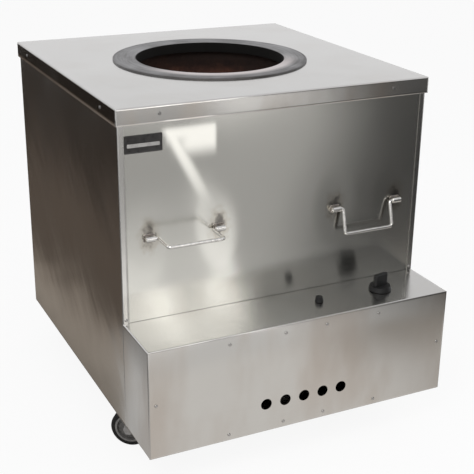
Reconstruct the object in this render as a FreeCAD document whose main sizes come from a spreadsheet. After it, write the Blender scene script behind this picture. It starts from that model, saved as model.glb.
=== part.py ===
"""Square gas tandoor on castors, as a parametric assembly in millimetres.

X points to the right, Y to the back and Z up.
The origin is on the floor, under the middle of the whole object.
"""
import FreeCAD
import Part
import math
import operator
import os
from types import SimpleNamespace

import Sketcher
from FreeCAD import Placement, Rotation, Vector

# Driving dimensions, kept in the spreadsheet
DIMS = {
    # casing of folded sheet
    "body_width": 812.0,
    "body_depth": 812.0,
    "body_height": 797.0,
    "ground_gap": 112.0,
    "sheet_gauge": 1.2,
    "sheet_bend": 2.0,
    "panel_flange": 14.0,
    "panel_gap": 0.3,
    "cover_gauge": 1.5,
    "cover_lip": 40.0,
    "cover_overhang": 5.0,
    "cover_bend": 2.5,
    # mouth of the pot
    "mouth_bore": 390.0,
    "ring_outer": 513.0,
    "ring_thickness": 4.0,
    "ring_edge": 1.5,
    "ring_wall": 4.0,
    "ring_spigot": 22.0,
    "ring_fit": 0.5,
    "spigot_gap": 8.0,
    # frame of steel angle
    "angle_leg": 40.0,
    "angle_wall": 4.0,
    "corner_plate": 140.0,
    "base_gauge": 2.0,
    "base_gap": 0.3,
    "vent_width": 96.0,
    # clay pot and what it stands in
    "hearth_height": 110.0,
    "hearth_bore": 205.0,
    "hearth_ledge": 8.0,
    "pot_wall": 35.0,
    "pot_base": 240.0,
    "pot_belly": 280.0,
    "belly_height": 250.0,
    "collar_height": 12.0,
    "collar_ledge": 15.0,
    "fill_gap": 0.4,
    # burner and its mixing tube
    "air_hole_height": 74.0,
    "burner_radius": 90.0,
    "burner_wall": 6.0,
    "burner_height": 60.0,
    "port_radius": 3.0,
    "port_circle": 70.0,
    "port_count": 18,
    "socket_wall": 6.0,
    "socket_length": 28.0,
    "stand_reach": 18.0,
    "stand_plate": 5.0,
    "stand_leg": 6.0,
    "stand_margin": 3.0,
    "spreader_radius": 115.0,
    "spreader_rise": 24.0,
    "spreader_gauge": 3.0,
    "spreader_lift": 30.0,
    "spreader_leg": 5.0,
    "spreader_circle": 50.0,
    "leg_count": 3,
    "tube_radius": 26.0,
    "tube_wall": 4.0,
    "throat_radius": 15.0,
    "throat_place": 90.0,
    "bell_radius": 40.0,
    "bell_rim": 8.0,
    "bell_length": 60.0,
    "face_plate": 4.0,
    "window_radius": 11.0,
    "window_circle": 24.0,
    "shutter_gauge": 2.0,
    "shutter_gap": 0.3,
    "shutter_tab": 14.0,
    "shutter_tab_width": 10.0,
    "jet_block": 20.0,
    "jet_shoulder": 4.0,
    "jet_shoulder_radius": 9.5,
    "jet_neck": 7.0,
    "jet_nose": 8.0,
    "jet_boss": 8.0,
    "jet_boss_height": 8.0,
    "running_fit": 0.05,
    "sliding_gap": 0.3,
    "pass_gap": 3.0,
    # gas line
    "manifold_drop": 90.0,
    "manifold_radius": 13.45,
    "manifold_wall": 2.6,
    "manifold_tail": 30.0,
    "saddle_radius": 12.0,
    "saddle_height": 16.0,
    "tap_radius": 7.0,
    "tap_depth": 5.0,
    "main_place": 150.0,
    "main_body_radius": 15.0,
    "main_body_height": 34.0,
    "main_bonnet_radius": 9.0,
    "main_bonnet_height": 14.0,
    "main_outlet_height": 14.0,
    "main_outlet_radius": 8.0,
    "main_elbow_radius": 10.0,
    "main_spindle_radius": 4.0,
    "main_spindle_seat": 26.0,
    "feed_offset": 32.0,
    "feed_elbow": 20.0,
    "feed_radius": 6.0,
    "feed_wall": 1.0,
    "feed_bend": 30.0,
    "pilot_place": 78.0,
    "pilot_body_radius": 10.0,
    "pilot_body_height": 30.0,
    "pilot_bonnet_radius": 6.0,
    "pilot_bonnet_height": 12.0,
    "pilot_outlet_height": 15.0,
    "pilot_outlet_radius": 6.0,
    "pilot_outlet_reach": 18.0,
    "pilot_spindle_radius": 3.0,
    "pilot_spindle_seat": 24.0,
    "pilot_tube_radius": 3.0,
    "pilot_tube_wall": 0.8,
    "pilot_tube_bend": 15.0,
    "pilot_tube_lift": 36.0,
    "pilot_standoff": 34.0,
    "pilot_reach": 46.0,
    "inlet_radius": 17.0,
    "inlet_flange": 23.0,
    "inlet_flange_gauge": 4.0,
    "inlet_length": 36.0,
    "inlet_proud": 4.0,
    "thread_radius": 9.3,
    "thread_depth": 16.0,
    "passage_radius": 8.0,
    "pipe_socket": 15.0,
    "clip_first": 89.0,
    "clip_pitch": 163.0,
    "clip_width": 20.0,
    "clip_gauge": 3.0,
    "clip_foot": 26.0,
    # knobs
    "knob_gap": 1.0,
    "knob_radius": 29.0,
    "knob_taper": 3.0,
    "knob_rim": 3.0,
    "knob_skirt": 12.0,
    "knob_grip_length": 44.0,
    "knob_grip_width": 14.0,
    "knob_grip_height": 30.0,
    "knob_round": 3.0,
    "knob_turn": 12.0,
    "knob_socket": 18.0,
    "pilot_knob_base": 11.0,
    "pilot_knob_top": 8.5,
    "pilot_knob_height": 13.0,
    "pilot_knob_socket": 9.0,
    "spindle_hole_gap": 1.0,
    # burner box on the front
    "box_depth": 158.0,
    "box_height": 278.0,
    "box_gauge": 1.2,
    "box_bend": 2.0,
    "box_flange": 30.0,
    "air_hole_radius": 14.5,
    "air_hole_pitch": 52.0,
    "air_hole_count": 5,
    "screw_head": 2.0,
    "screw_head_radius": 4.0,
    "screw_radius": 2.0,
    "screw_fit": 0.05,
    "screw_tail": 4.0,
    "box_screw_inner": 56.0,
    "box_screw_outer": 203.0,
    "box_screw_edge": 18.0,
    "box_screw_top": 22.0,
    "box_screw_bottom": 15.0,
    "panel_screw_edge": 8.0,
    "panel_screw_low": 9.0,
    "panel_screw_high": 24.0,
    "rivet_drop": 19.0,
    "rivet_place": 98.0,
    # drop handles
    "handle_offset": 158.0,
    "handle_height": 485.0,
    "handle_standoff": 9.0,
    "sleeve_radius": 7.0,
    "sleeve_length": 23.0,
    "sleeve_gap": 1.0,
    "bail_radius": 4.25,
    "bail_span": 138.0,
    "bail_drop": 65.0,
    "bail_bend": 7.0,
    "bail_tail": 20.0,
    "left_bail_lift": 90.0,
    "right_bail_lift": 15.0,
    # castors
    "castor_height": 130.0,
    "castor_inset": 74.0,
    "castor_trail": 35.0,
    "left_castor_yaw": 142.0,
    "right_castor_yaw": 100.0,
    "rear_castor_yaw": 90.0,
    "wheel_radius": 50.0,
    "tyre_width": 32.0,
    "tyre_round": 6.0,
    "rim_radius": 38.0,
    "rim_wall": 5.0,
    "hub_web": 8.0,
    "hub_boss": 13.0,
    "hub_width": 36.0,
    "axle_radius": 6.0,
    "hex_radius": 11.0,
    "hex_height": 7.0,
    "fork_gauge": 4.0,
    "fork_crown": 26.0,
    "fork_side": 14.0,
    "fork_foot": 14.0,
    "fork_gap": 0.5,
    "race_radius": 26.0,
    "race_height": 10.0,
    "plate_gauge": 4.0,
    "plate_length": 105.0,
    "plate_width": 85.0,
    "bolt_length_pitch": 80.0,
    "bolt_width_pitch": 60.0,
    "bolt_radius": 4.0,
    "bolt_hex_radius": 7.5,
    "bolt_hex_height": 5.5,
    "kingpin_radius": 6.0,
    "kingpin_head": 11.0,
    "kingpin_head_height": 6.0,
}


class Size:
    """A number together with the sheet expression that yields it."""

    def __init__(self, value, text):
        self.value = value
        self.text = text

    def __add__(self, other):
        return combine(self, "+", other)

    def __radd__(self, other):
        return combine(other, "+", self)

    def __sub__(self, other):
        return combine(self, "-", other)

    def __rsub__(self, other):
        return combine(other, "-", self)

    def __mul__(self, other):
        return combine(self, "*", other)

    def __rmul__(self, other):
        return combine(other, "*", self)

    def __truediv__(self, other):
        return combine(self, "/", other)

    def __neg__(self):
        return combine(0, "-", self)


OPERATIONS = {"+": operator.add, "-": operator.sub, "*": operator.mul, "/": operator.truediv}


def as_size(number):
    return number if isinstance(number, Size) else Size(float(number), repr(float(number)))


def combine(left, sign, right):
    left, right = as_size(left), as_size(right)
    return Size(OPERATIONS[sign](left.value, right.value), f"({left.text} {sign} {right.text})")


def cosine(degrees):
    return Size(math.cos(math.radians(degrees.value)), f"cos({degrees.text})")


def sine(degrees):
    return Size(math.sin(math.radians(degrees.value)), f"sin({degrees.text})")


doc = FreeCAD.newDocument("tandoor")
sheet = doc.addObject("Spreadsheet::Sheet", "dims")
for row, (alias, number) in enumerate(DIMS.items(), 1):
    sheet.set(f"A{row}", str(number))
    sheet.setAlias(f"A{row}", alias)
doc.recompute()
d = SimpleNamespace(**{alias: Size(float(number), f"dims.{alias}") for alias, number in DIMS.items()})
nodes = []

# Levels and planes that the pieces share
half_width = d.body_width / 2
half_depth = d.body_depth / 2
y_front = (d.box_depth - d.body_depth - d.cover_overhang) / 2
y_middle = y_front + half_depth
y_panel = y_front + d.sheet_gauge
z_top = d.ground_gap + d.body_height
z_under_cover = z_top - d.cover_gauge
panel_height = z_under_cover - d.ground_gap
frame_x = half_width - d.sheet_gauge
frame_y = half_depth - 2 * d.sheet_gauge
z_floor = d.castor_height + d.angle_wall + d.base_gauge
z_pot = z_floor + d.hearth_height
pot_height = z_under_cover - d.collar_height - z_pot
spigot_radius = d.mouth_bore / 2 + d.ring_wall
pot_mouth = spigot_radius + d.spigot_gap
hearth_outer = d.pot_base + d.pot_wall + d.hearth_ledge
collar_outer = pot_mouth + d.pot_wall + d.collar_ledge
z_burner = d.ground_gap + d.air_hole_height
z_box_top = d.ground_gap + d.box_height
y_line = y_front - d.box_depth / 2
y_feed = y_line - d.feed_offset
y_shutter = y_feed + d.jet_block / 2 + d.jet_shoulder + d.shutter_gap
y_tube = y_shutter + d.shutter_gauge + d.shutter_gap
z_manifold = z_box_top - d.manifold_drop
z_saddle = z_manifold + d.saddle_height
z_pilot_tube = z_burner + d.pilot_tube_lift
y_handle = y_panel - d.handle_standoff
z_handle = d.ground_gap + d.handle_height
sleeve_start = d.bail_span / 2 + d.bail_bend + d.sleeve_gap
handle_x = half_width - d.handle_offset
main_x = half_width - d.main_place
rivet_x = half_width - d.rivet_place
rivet_y = half_depth - d.rivet_place
rivet_z = d.body_height - d.rivet_drop
panel_screw_x = half_width - d.panel_screw_edge
low_screw_z = d.box_height + d.panel_screw_low
high_screw_z = panel_height - d.panel_screw_high
tunnel_radius = d.tube_radius + d.pass_gap
pilot_pass = d.pilot_tube_radius + d.sliding_gap


# Helpers for bodies, sketches and features
def bind(thing, path, size):
    thing.setExpression(path, as_size(size).text)


def part(label, x=0, y=0, z=0, axis=None, angle=None):
    """A body whose place, and turn about an axis, follow the sheet."""
    body = doc.addObject("PartDesign::Body", label)
    body.Label = label
    if axis is not None:
        body.Placement = Placement(Vector(), Rotation(axis, angle.value))
        bind(body, "Placement.Rotation.Angle", angle)
    for letter, size in zip("xyz", (x, y, z)):
        bind(body, f"Placement.Base.{letter}", size)
    nodes.append(body)
    return body


def origin_feature(body, role):
    return next(item for item in body.Origin.OriginFeatures if item.Role == role)


def sketch_on(body, plane, lift=0):
    """An empty sketch on an origin plane, lifted along the plane's normal: +Z, -Y or +X."""
    made = body.newObject("Sketcher::SketchObject", "Sketch")
    made.AttachmentSupport = [(origin_feature(body, plane + "_Plane"), "")]
    made.MapMode = "FlatFace"
    bind(made, "AttachmentOffset.Base.z", lift)
    return made


def hold(sketch, kind, geometry, point, size):
    """Ties one coordinate of a point of the sketch to the sheet."""
    index = sketch.addConstraint(Sketcher.Constraint(kind, -1, 1, geometry, point, size.value))
    sketch.setExpression(f"Constraints[{index}]", size.text)


def add_arc(sketch, start, end, centre, turn):
    """An arc from start to end about a centre, turning left for +1 and right for -1."""
    first, last = (start, end) if turn > 0 else (end, start)
    middle = Vector(centre[0].value, centre[1].value, 0)
    begin = math.atan2(first.y - middle.y, first.x - middle.x)
    finish = math.atan2(last.y - middle.y, last.x - middle.x)
    if finish <= begin:
        finish += 2 * math.pi
    round_edge = Part.Circle(middle, Vector(0, 0, 1), (first - middle).Length)
    geometry = sketch.addGeometry(Part.ArcOfCircle(round_edge, begin, finish))
    return (geometry, 1, 2) if turn > 0 else (geometry, 2, 1)


def chain(sketch, corners, arcs, closed):
    """Joined lines and arcs through the corners; arcs maps an edge's number to its centre and turn."""
    corners = [(as_size(x), as_size(y)) for x, y in corners]
    points = [Vector(x.value, y.value, 0) for x, y in corners]
    count = len(corners) if closed else len(corners) - 1
    edges = []
    for i in range(count):
        start, end = points[i], points[(i + 1) % len(points)]
        if i in arcs:
            x, y, turn = arcs[i]
            edges.append(add_arc(sketch, start, end, (as_size(x), as_size(y)), turn))
        else:
            edges.append((sketch.addGeometry(Part.LineSegment(start, end)), 1, 2))
    for i in range(count if closed else count - 1):
        here, after = edges[i], edges[(i + 1) % count]
        sketch.addConstraint(Sketcher.Constraint("Coincident", here[0], here[2], after[0], after[1]))
    for i, (x, y) in enumerate(corners):
        geometry, point = (edges[i][0], edges[i][1]) if i < count else (edges[-1][0], edges[-1][2])
        hold(sketch, "DistanceX", geometry, point, x)
        hold(sketch, "DistanceY", geometry, point, y)
    for i, (x, y, turn) in arcs.items():
        span = points[(i + 1) % len(points)] - points[i]
        upright = abs(span.x) > abs(span.y)
        hold(sketch, "DistanceY" if upright else "DistanceX", edges[i][0], 3, as_size(y if upright else x))
    return sketch


def loop(sketch, corners, arcs=None):
    return chain(sketch, corners, arcs or {}, True)


def rectangle(sketch, left, right, low, high):
    return loop(sketch, [(left, low), (right, low), (right, high), (left, high)])


def circle(sketch, radius, x=0, y=0):
    radius, x, y = as_size(radius), as_size(x), as_size(y)
    round_edge = Part.Circle(Vector(x.value, y.value, 0), Vector(0, 0, 1), radius.value)
    geometry = sketch.addGeometry(round_edge)
    hold(sketch, "DistanceX", geometry, 3, x)
    hold(sketch, "DistanceY", geometry, 3, y)
    index = sketch.addConstraint(Sketcher.Constraint("Radius", geometry, radius.value))
    sketch.setExpression(f"Constraints[{index}]", radius.text)
    return sketch


def hexagon(sketch, radius, x=0, y=0):
    """Six corners at the radius, two of them on the sketch's own X direction."""
    half, rise = radius / 2, radius * math.sqrt(0.75)
    corners = [(radius, 0), (half, rise), (-half, rise), (-radius, 0), (-half, -rise), (half, -rise)]
    return loop(sketch, [(x + across, y + up) for across, up in corners])


def bent_path(sketch, corners, bend):
    """An open path of level and upright runs whose corners are rounded by one bend radius."""
    corners = [(as_size(x), as_size(y)) for x, y in corners]
    points, arcs = [corners[0]], {}
    for before, here, after in zip(corners, corners[1:], corners[2:]):
        came = [math.copysign(1, h.value - b.value) if abs(h.value - b.value) > 1e-6 else 0
                for b, h in zip(before, here)]
        goes = [math.copysign(1, a.value - h.value) if abs(a.value - h.value) > 1e-6 else 0
                for h, a in zip(here, after)]
        enter = [h - bend * c for h, c in zip(here, came)]
        leave = [h + bend * g for h, g in zip(here, goes)]
        centre = [e + bend * g for e, g in zip(enter, goes)]
        arcs[len(points)] = (centre[0], centre[1], came[0] * goes[1] - came[1] * goes[0])
        points += [tuple(enter), tuple(leave)]
    return chain(sketch, points + [corners[-1]], arcs, False)


def pad(body, sketch, length, backward=False, symmetric=False):
    made = body.newObject("PartDesign::Pad", "Pad")
    made.Profile = sketch
    bind(made, "Length", length)
    made.Reversed = backward
    made.SideType = "Symmetric" if symmetric else "One side"
    return made


def pocket(body, sketch, length=None, backward=False, symmetric=False):
    """A cut against the sketch's normal, or along it when backward; with no length it goes right through."""
    doc.recompute()
    before = body.Shape.Volume
    made = body.newObject("PartDesign::Pocket", "Pocket")
    made.Profile = sketch
    made.Reversed = backward
    made.SideType = "Symmetric" if symmetric else "One side"
    if length is None:
        made.Type = "ThroughAll"
    else:
        bind(made, "Length", length)
    doc.recompute()
    if not body.Shape.Volume < before:
        raise RuntimeError(f"a cut in {body.Label} removes nothing")
    return made


def spin(body, sketch, axis, kind="Revolution"):
    """A full turn of the sketch about an axis of the body's origin."""
    made = body.newObject("PartDesign::" + kind, kind)
    made.Profile = sketch
    made.ReferenceAxis = (origin_feature(body, axis + "_Axis"), [""])
    made.Angle = 360
    return made


def polar(body, feature, axis, count):
    made = body.newObject("PartDesign::PolarPattern", "Pattern")
    made.Originals = [feature]
    made.Axis = (origin_feature(body, axis + "_Axis"), [""])
    made.Angle = 360
    bind(made, "Occurrences", count)
    body.Tip = made
    return made


def round_edges(body, radius, wanted):
    """Fillets every edge of the body so far that passes the test."""
    doc.recompute()
    base = body.Tip
    names = [f"Edge{i}" for i, edge in enumerate(base.Shape.Edges, 1) if wanted(edge)]
    if not names:
        raise RuntimeError(f"no edge to round in {body.Label}")
    made = body.newObject("PartDesign::Fillet", "Fillet")
    made.Base = (base, names)
    bind(made, "Radius", radius)
    return made


def near(one, other):
    return abs(one - other) < 0.01


# Casing
def side_panel(label, side):
    """A web with a front and a back flange turned inwards; side is -1 on the left and 1 on the right."""
    body = part(label, side * half_width, y_middle, d.ground_gap)
    inner, tip = -side * d.sheet_gauge, -side * d.panel_flange
    corners = [(0, -half_depth), (tip, -half_depth), (tip, d.sheet_gauge - half_depth),
               (inner, d.sheet_gauge - half_depth), (inner, half_depth - d.sheet_gauge),
               (tip, half_depth - d.sheet_gauge), (tip, half_depth), (0, half_depth)]
    pad(body, loop(sketch_on(body, "XY"), corners), panel_height)
    reach = half_depth.value
    round_edges(body, d.sheet_bend, lambda edge: near(edge.CenterOfMass.x, 0)
                and near(abs(edge.CenterOfMass.y), reach) and edge.BoundBox.ZLength > d.sheet_bend.value)
    holes = sketch_on(body, "XZ", half_depth)
    for level in (low_screw_z, high_screw_z):
        circle(holes, d.screw_radius + d.screw_fit, -side * d.panel_screw_edge, level)
    pocket(body, holes, 2 * d.sheet_gauge)
    rivets = sketch_on(body, "YZ")
    for place in (-rivet_y, rivet_y):
        circle(rivets, d.screw_radius + d.screw_fit, place, rivet_z)
    pocket(body, rivets, 2 * d.sheet_gauge, symmetric=True)


def flat_panel_outline(body):
    wide = frame_x - d.panel_gap
    sketch = rectangle(sketch_on(body, "XZ"), -wide, wide, 0, panel_height)
    for place in (-rivet_x, rivet_x):
        circle(sketch, d.screw_radius + d.screw_fit, place, rivet_z)
    return sketch


def front_panel():
    body = part("front_panel", 0, y_panel, d.ground_gap)
    sketch = flat_panel_outline(body)
    circle(sketch, tunnel_radius, 0, d.air_hole_height)
    circle(sketch, pilot_pass, d.pilot_place, z_pilot_tube - d.ground_gap)
    for side in (-1, 1):
        for level in (low_screw_z, high_screw_z):
            circle(sketch, d.screw_radius + d.screw_fit, side * panel_screw_x, level)
    pad(body, sketch, d.sheet_gauge, backward=True)


def back_panel():
    body = part("back_panel", 0, y_front + d.body_depth - d.sheet_gauge, d.ground_gap)
    pad(body, flat_panel_outline(body), d.sheet_gauge)


def top_cover():
    """A shallow tray, upside down, with the hole for the mouth."""
    body = part("top_cover", 0, y_middle, z_top)
    out_x, out_y = half_width + d.cover_overhang, half_depth + d.cover_overhang
    plate = rectangle(sketch_on(body, "XY"), -out_x, out_x, -out_y, out_y)
    circle(plate, spigot_radius + d.ring_fit)
    pad(body, plate, d.cover_gauge, backward=True)
    rim = rectangle(sketch_on(body, "XY"), -out_x, out_x, -out_y, out_y)
    in_x, in_y = out_x - d.cover_gauge, out_y - d.cover_gauge
    rectangle(rim, -in_x, in_x, -in_y, in_y)
    pad(body, rim, d.cover_lip, backward=True)
    x, y, low = out_x.value, out_y.value, -d.cover_lip.value
    round_edges(body, d.cover_bend, lambda edge: not near(edge.CenterOfMass.z, low)
                and (near(abs(edge.CenterOfMass.x), x) or near(abs(edge.CenterOfMass.y), y)))
    for plane, reach in (("XZ", rivet_x), ("YZ", rivet_y)):
        holes = sketch_on(body, plane)
        for place in (-reach, reach):
            circle(holes, d.screw_radius + d.screw_fit, place, -d.rivet_drop)
        pocket(body, holes, symmetric=True)


# Mouth, pot and filling
def mouth_ring():
    """A flat ring on the cover with a spigot down through its hole."""
    body = part("mouth_ring", 0, y_middle, z_top)
    bore, outer = d.mouth_bore / 2, d.ring_outer / 2
    edge, thick = d.ring_edge, d.ring_thickness
    corners = [(bore, -d.ring_spigot), (spigot_radius, -d.ring_spigot), (spigot_radius, 0), (outer, 0),
               (outer, thick - edge), (outer - edge, thick), (bore + edge, thick), (bore, thick - edge)]
    arcs = {4: (outer - edge, thick - edge, 1), 6: (bore + edge, thick - edge, 1)}
    spin(body, loop(sketch_on(body, "XZ"), corners, arcs), "Z")


def belly_centre(end, belly, height):
    """Where the arc from the end radius to the belly has its centre, on the belly's own level."""
    step = belly - end
    return belly - (step * step + height * height) / (2 * step)


def pot_side(outset):
    """The pot's curve from base to mouth, moved outwards: its three points and two arc centres."""
    base, belly, mouth = d.pot_base + outset, d.pot_belly + outset, pot_mouth + outset
    low = belly_centre(base, belly, d.belly_height)
    high = belly_centre(mouth, belly, pot_height - d.belly_height)
    return (base, belly, mouth), (low, high)


def clay_pot():
    """A bell-shaped pot: two arcs that meet upright at the belly, inside and outside."""
    body = part("clay_pot", 0, y_middle, z_pot)
    inner, inner_centres = pot_side(0)
    outer, outer_centres = pot_side(d.pot_wall)
    belly = d.belly_height
    corners = [(inner[0], 0), (inner[1], belly), (inner[2], pot_height),
               (outer[2], pot_height), (outer[1], belly), (outer[0], 0)]
    arcs = {0: (inner_centres[0], belly, 1), 1: (inner_centres[1], belly, 1),
            3: (outer_centres[1], belly, -1), 4: (outer_centres[0], belly, -1)}
    spin(body, loop(sketch_on(body, "XZ"), corners, arcs), "Z")


def mouth_collar():
    body = part("mouth_collar", 0, y_middle, z_pot + pot_height)
    spin(body, rectangle(sketch_on(body, "XZ"), pot_mouth, collar_outer, 0, d.collar_height), "Z")


def front_passages(body, base):
    """Cuts the way for the mixing tube and the pilot tube, from the middle to the front."""
    sketch = circle(sketch_on(body, "XZ"), tunnel_radius, 0, z_burner - base)
    circle(sketch, pilot_pass, d.pilot_place, z_pilot_tube - base)
    pocket(body, sketch, backward=True)


def hearth_ring():
    body = part("hearth_ring", 0, y_middle, z_floor)
    spin(body, rectangle(sketch_on(body, "XZ"), d.hearth_bore, hearth_outer, 0, d.hearth_height), "Z")
    front_passages(body, z_floor)


def insulation_fill():
    """What is packed between the casing and the hearth, pot and collar."""
    body = part("insulation_fill", 0, y_middle, z_floor)
    wide, deep = frame_x - d.angle_wall, frame_y - d.angle_wall
    height = z_under_cover - d.angle_wall - z_floor
    pad(body, rectangle(sketch_on(body, "XY"), -wide, wide, -deep, deep), height)
    radii, centres = pot_side(d.pot_wall + d.fill_gap)
    belly, rim = d.hearth_height + d.belly_height, d.hearth_height + pot_height
    foot, collar = hearth_outer + d.fill_gap, collar_outer + d.fill_gap
    corners = [(0, 0), (foot, 0), (foot, d.hearth_height), (radii[0], d.hearth_height), (radii[1], belly),
               (radii[2], rim), (collar, rim), (collar, height), (0, height)]
    arcs = {3: (centres[0], belly, 1), 4: (centres[1], belly, 1)}
    spin(body, loop(sketch_on(body, "XZ"), corners, arcs), "Z", "Groove")
    front_passages(body, z_floor)


# Frame
def base_frame():
    """A square of angle with a plate in each corner for the castors."""
    body = part("base_frame", 0, y_middle, d.castor_height)
    wall = rectangle(sketch_on(body, "XY"), -frame_x, frame_x, -frame_y, frame_y)
    in_x, in_y = frame_x - d.angle_wall, frame_y - d.angle_wall
    rectangle(wall, -in_x, in_x, -in_y, in_y)
    pad(body, wall, d.angle_leg)
    flat = rectangle(sketch_on(body, "XY"), -frame_x, frame_x, -frame_y, frame_y)
    leg_x, leg_y = frame_x - d.angle_leg, frame_y - d.angle_leg
    plate_x, plate_y = frame_x - d.corner_plate, frame_y - d.corner_plate
    quarter = [(plate_x, -leg_y), (plate_x, -plate_y), (leg_x, -plate_y)]
    corners = quarter + [(x, -y) for x, y in reversed(quarter)]
    loop(flat, corners + [(-x, y) for x, y in reversed(corners)])
    for x, y in bolt_places():
        circle(flat, d.bolt_radius + d.screw_fit, x, y - y_middle)
    pad(body, flat, d.angle_wall)
    notch = circle(sketch_on(body, "XZ"), tunnel_radius, 0, z_burner - d.castor_height)
    pocket(body, notch, backward=True)


def corner_posts():
    foot = d.castor_height + d.angle_leg
    body = part("corner_posts", 0, y_middle, foot)
    sketch = sketch_on(body, "XY")
    leg_x, leg_y = frame_x - d.angle_leg, frame_y - d.angle_leg
    in_x, in_y = frame_x - d.angle_wall, frame_y - d.angle_wall
    profile = [(frame_x, frame_y), (leg_x, frame_y), (leg_x, in_y),
               (in_x, in_y), (in_x, leg_y), (frame_x, leg_y)]
    for across in (-1, 1):
        for along in (-1, 1):
            loop(sketch, [(across * x, along * y) for x, y in profile])
    pad(body, sketch, z_under_cover - d.angle_leg - foot)
    holes = sketch_on(body, "XZ")
    for side in (-1, 1):
        circle(holes, d.screw_radius + d.screw_fit, side * panel_screw_x, d.ground_gap + low_screw_z - foot)
    pocket(body, holes, backward=True)


def top_frame():
    body = part("top_frame", 0, y_middle, z_under_cover)
    for width, depth in ((d.angle_wall, d.angle_leg), (d.angle_leg, d.angle_wall)):
        sketch = rectangle(sketch_on(body, "XY"), -frame_x, frame_x, -frame_y, frame_y)
        in_x, in_y = frame_x - width, frame_y - width
        rectangle(sketch, -in_x, in_x, -in_y, in_y)
        pad(body, sketch, depth, backward=True)
    for plane, reach in (("XZ", rivet_x), ("YZ", rivet_y)):
        holes = sketch_on(body, plane)
        for place in (-reach, reach):
            circle(holes, d.screw_radius + d.screw_fit, place, rivet_z - panel_height)
        pocket(body, holes, symmetric=True)
    screws = sketch_on(body, "XZ")
    for side in (-1, 1):
        circle(screws, d.screw_radius + d.screw_fit, side * panel_screw_x, -d.panel_screw_high)
    pocket(body, screws, backward=True)


def base_plate():
    body = part("base_plate", 0, y_middle, d.castor_height + d.angle_wall)
    wide, deep = frame_x - d.angle_wall - d.base_gap, frame_y - d.angle_wall - d.base_gap
    sketch = rectangle(sketch_on(body, "XY"), -wide, wide, -deep, deep)
    vent = d.vent_width / 2
    rectangle(sketch, -vent, vent, -vent, vent)
    pad(body, sketch, d.base_gauge)


# Burner
def burner_stand():
    body = part("burner_stand", 0, y_middle, z_floor)
    height = z_burner - d.burner_height / 2 - z_floor
    leg_circle = d.vent_width / 2 + d.stand_reach
    ring = circle(sketch_on(body, "XY", height - d.stand_plate), leg_circle + d.stand_leg + d.stand_margin)
    circle(ring, d.vent_width / 2)
    pad(body, ring, d.stand_plate)
    leg = pad(body, circle(sketch_on(body, "XY"), d.stand_leg, 0, leg_circle), height)
    polar(body, leg, "Z", d.leg_count)


def burner_head():
    """A flat round chamber with a ring of ports on top and a socket for the mixing tube."""
    body = part("burner_head", 0, y_middle, z_burner)
    radius, wall, half = d.burner_radius, d.burner_wall, d.burner_height / 2
    spin(body, rectangle(sketch_on(body, "XZ"), 0, radius, -half, half), "Z")
    socket = d.tube_radius + d.running_fit
    boss = circle(sketch_on(body, "XZ", radius - wall), socket + d.socket_wall)
    pad(body, boss, wall + d.socket_length)
    chamber = rectangle(sketch_on(body, "XZ"), 0, radius - wall, wall - half, half - wall)
    spin(body, chamber, "Z", "Groove")
    pocket(body, circle(sketch_on(body, "XZ", radius), socket), backward=True)
    throat = circle(sketch_on(body, "XZ", radius - 2 * wall), d.tube_radius - d.tube_wall)
    pocket(body, throat, backward=True)
    port = pocket(body, circle(sketch_on(body, "XY", half), d.port_radius, 0, d.port_circle), 2 * wall)
    polar(body, port, "Z", d.port_count)


def flame_spreader():
    """A low cone on three legs that keeps drips off the ports."""
    body = part("flame_spreader", 0, y_middle, z_burner + d.burner_height / 2)
    low, peak, gauge = d.spreader_lift, d.spreader_lift + d.spreader_rise, d.spreader_gauge
    corners = [(0, peak), (0, peak + gauge), (d.spreader_radius, low + gauge), (d.spreader_radius, low)]
    spin(body, loop(sketch_on(body, "XZ"), corners), "Z")
    slope = d.spreader_rise / d.spreader_radius
    under = peak - slope * (d.spreader_circle + d.spreader_leg)
    leg = pad(body, circle(sketch_on(body, "XY"), d.spreader_leg, 0, d.spreader_circle), under + gauge / 2)
    polar(body, leg, "Z", d.leg_count)


def mixing_tube():
    """A cast tube: windowed face, bell mouth, throat, then a slow widening up to the burner."""
    body = part("mixing_tube", 0, y_tube, z_burner)
    length = y_middle - d.burner_radius - y_tube
    bell, tube, wall, face = d.bell_radius, d.tube_radius, d.tube_wall, d.face_plate
    neck = d.jet_neck + d.running_fit
    corners = [(neck, 0), (bell, 0), (bell, d.bell_rim), (tube, d.bell_length), (tube, length),
               (tube - wall, length), (d.throat_radius, d.throat_place), (bell - wall, face), (neck, face)]
    spin(body, loop(sketch_on(body, "XY"), corners), "Y")
    window = pocket(body, circle(sketch_on(body, "XZ"), d.window_radius, 0, d.window_circle), face)
    polar(body, window, "Y", d.leg_count)


def air_shutter():
    """A disc with the same windows as the tube's face, turned by its tab."""
    body = part("air_shutter", 0, y_shutter, z_burner)
    disc = circle(sketch_on(body, "XZ"), d.bell_radius)
    circle(disc, d.jet_neck + d.running_fit)
    pad(body, disc, d.shutter_gauge, backward=True)
    half = d.shutter_tab_width / 2
    top = d.bell_radius + d.shutter_tab
    root = d.window_circle + d.window_radius
    tab = rectangle(sketch_on(body, "XZ"), -half, half, root, top)
    pad(body, tab, d.shutter_gauge, backward=True)
    window = pocket(body, circle(sketch_on(body, "XZ"), d.window_radius, 0, d.window_circle), d.shutter_gauge)
    polar(body, window, "Y", d.leg_count)


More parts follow.
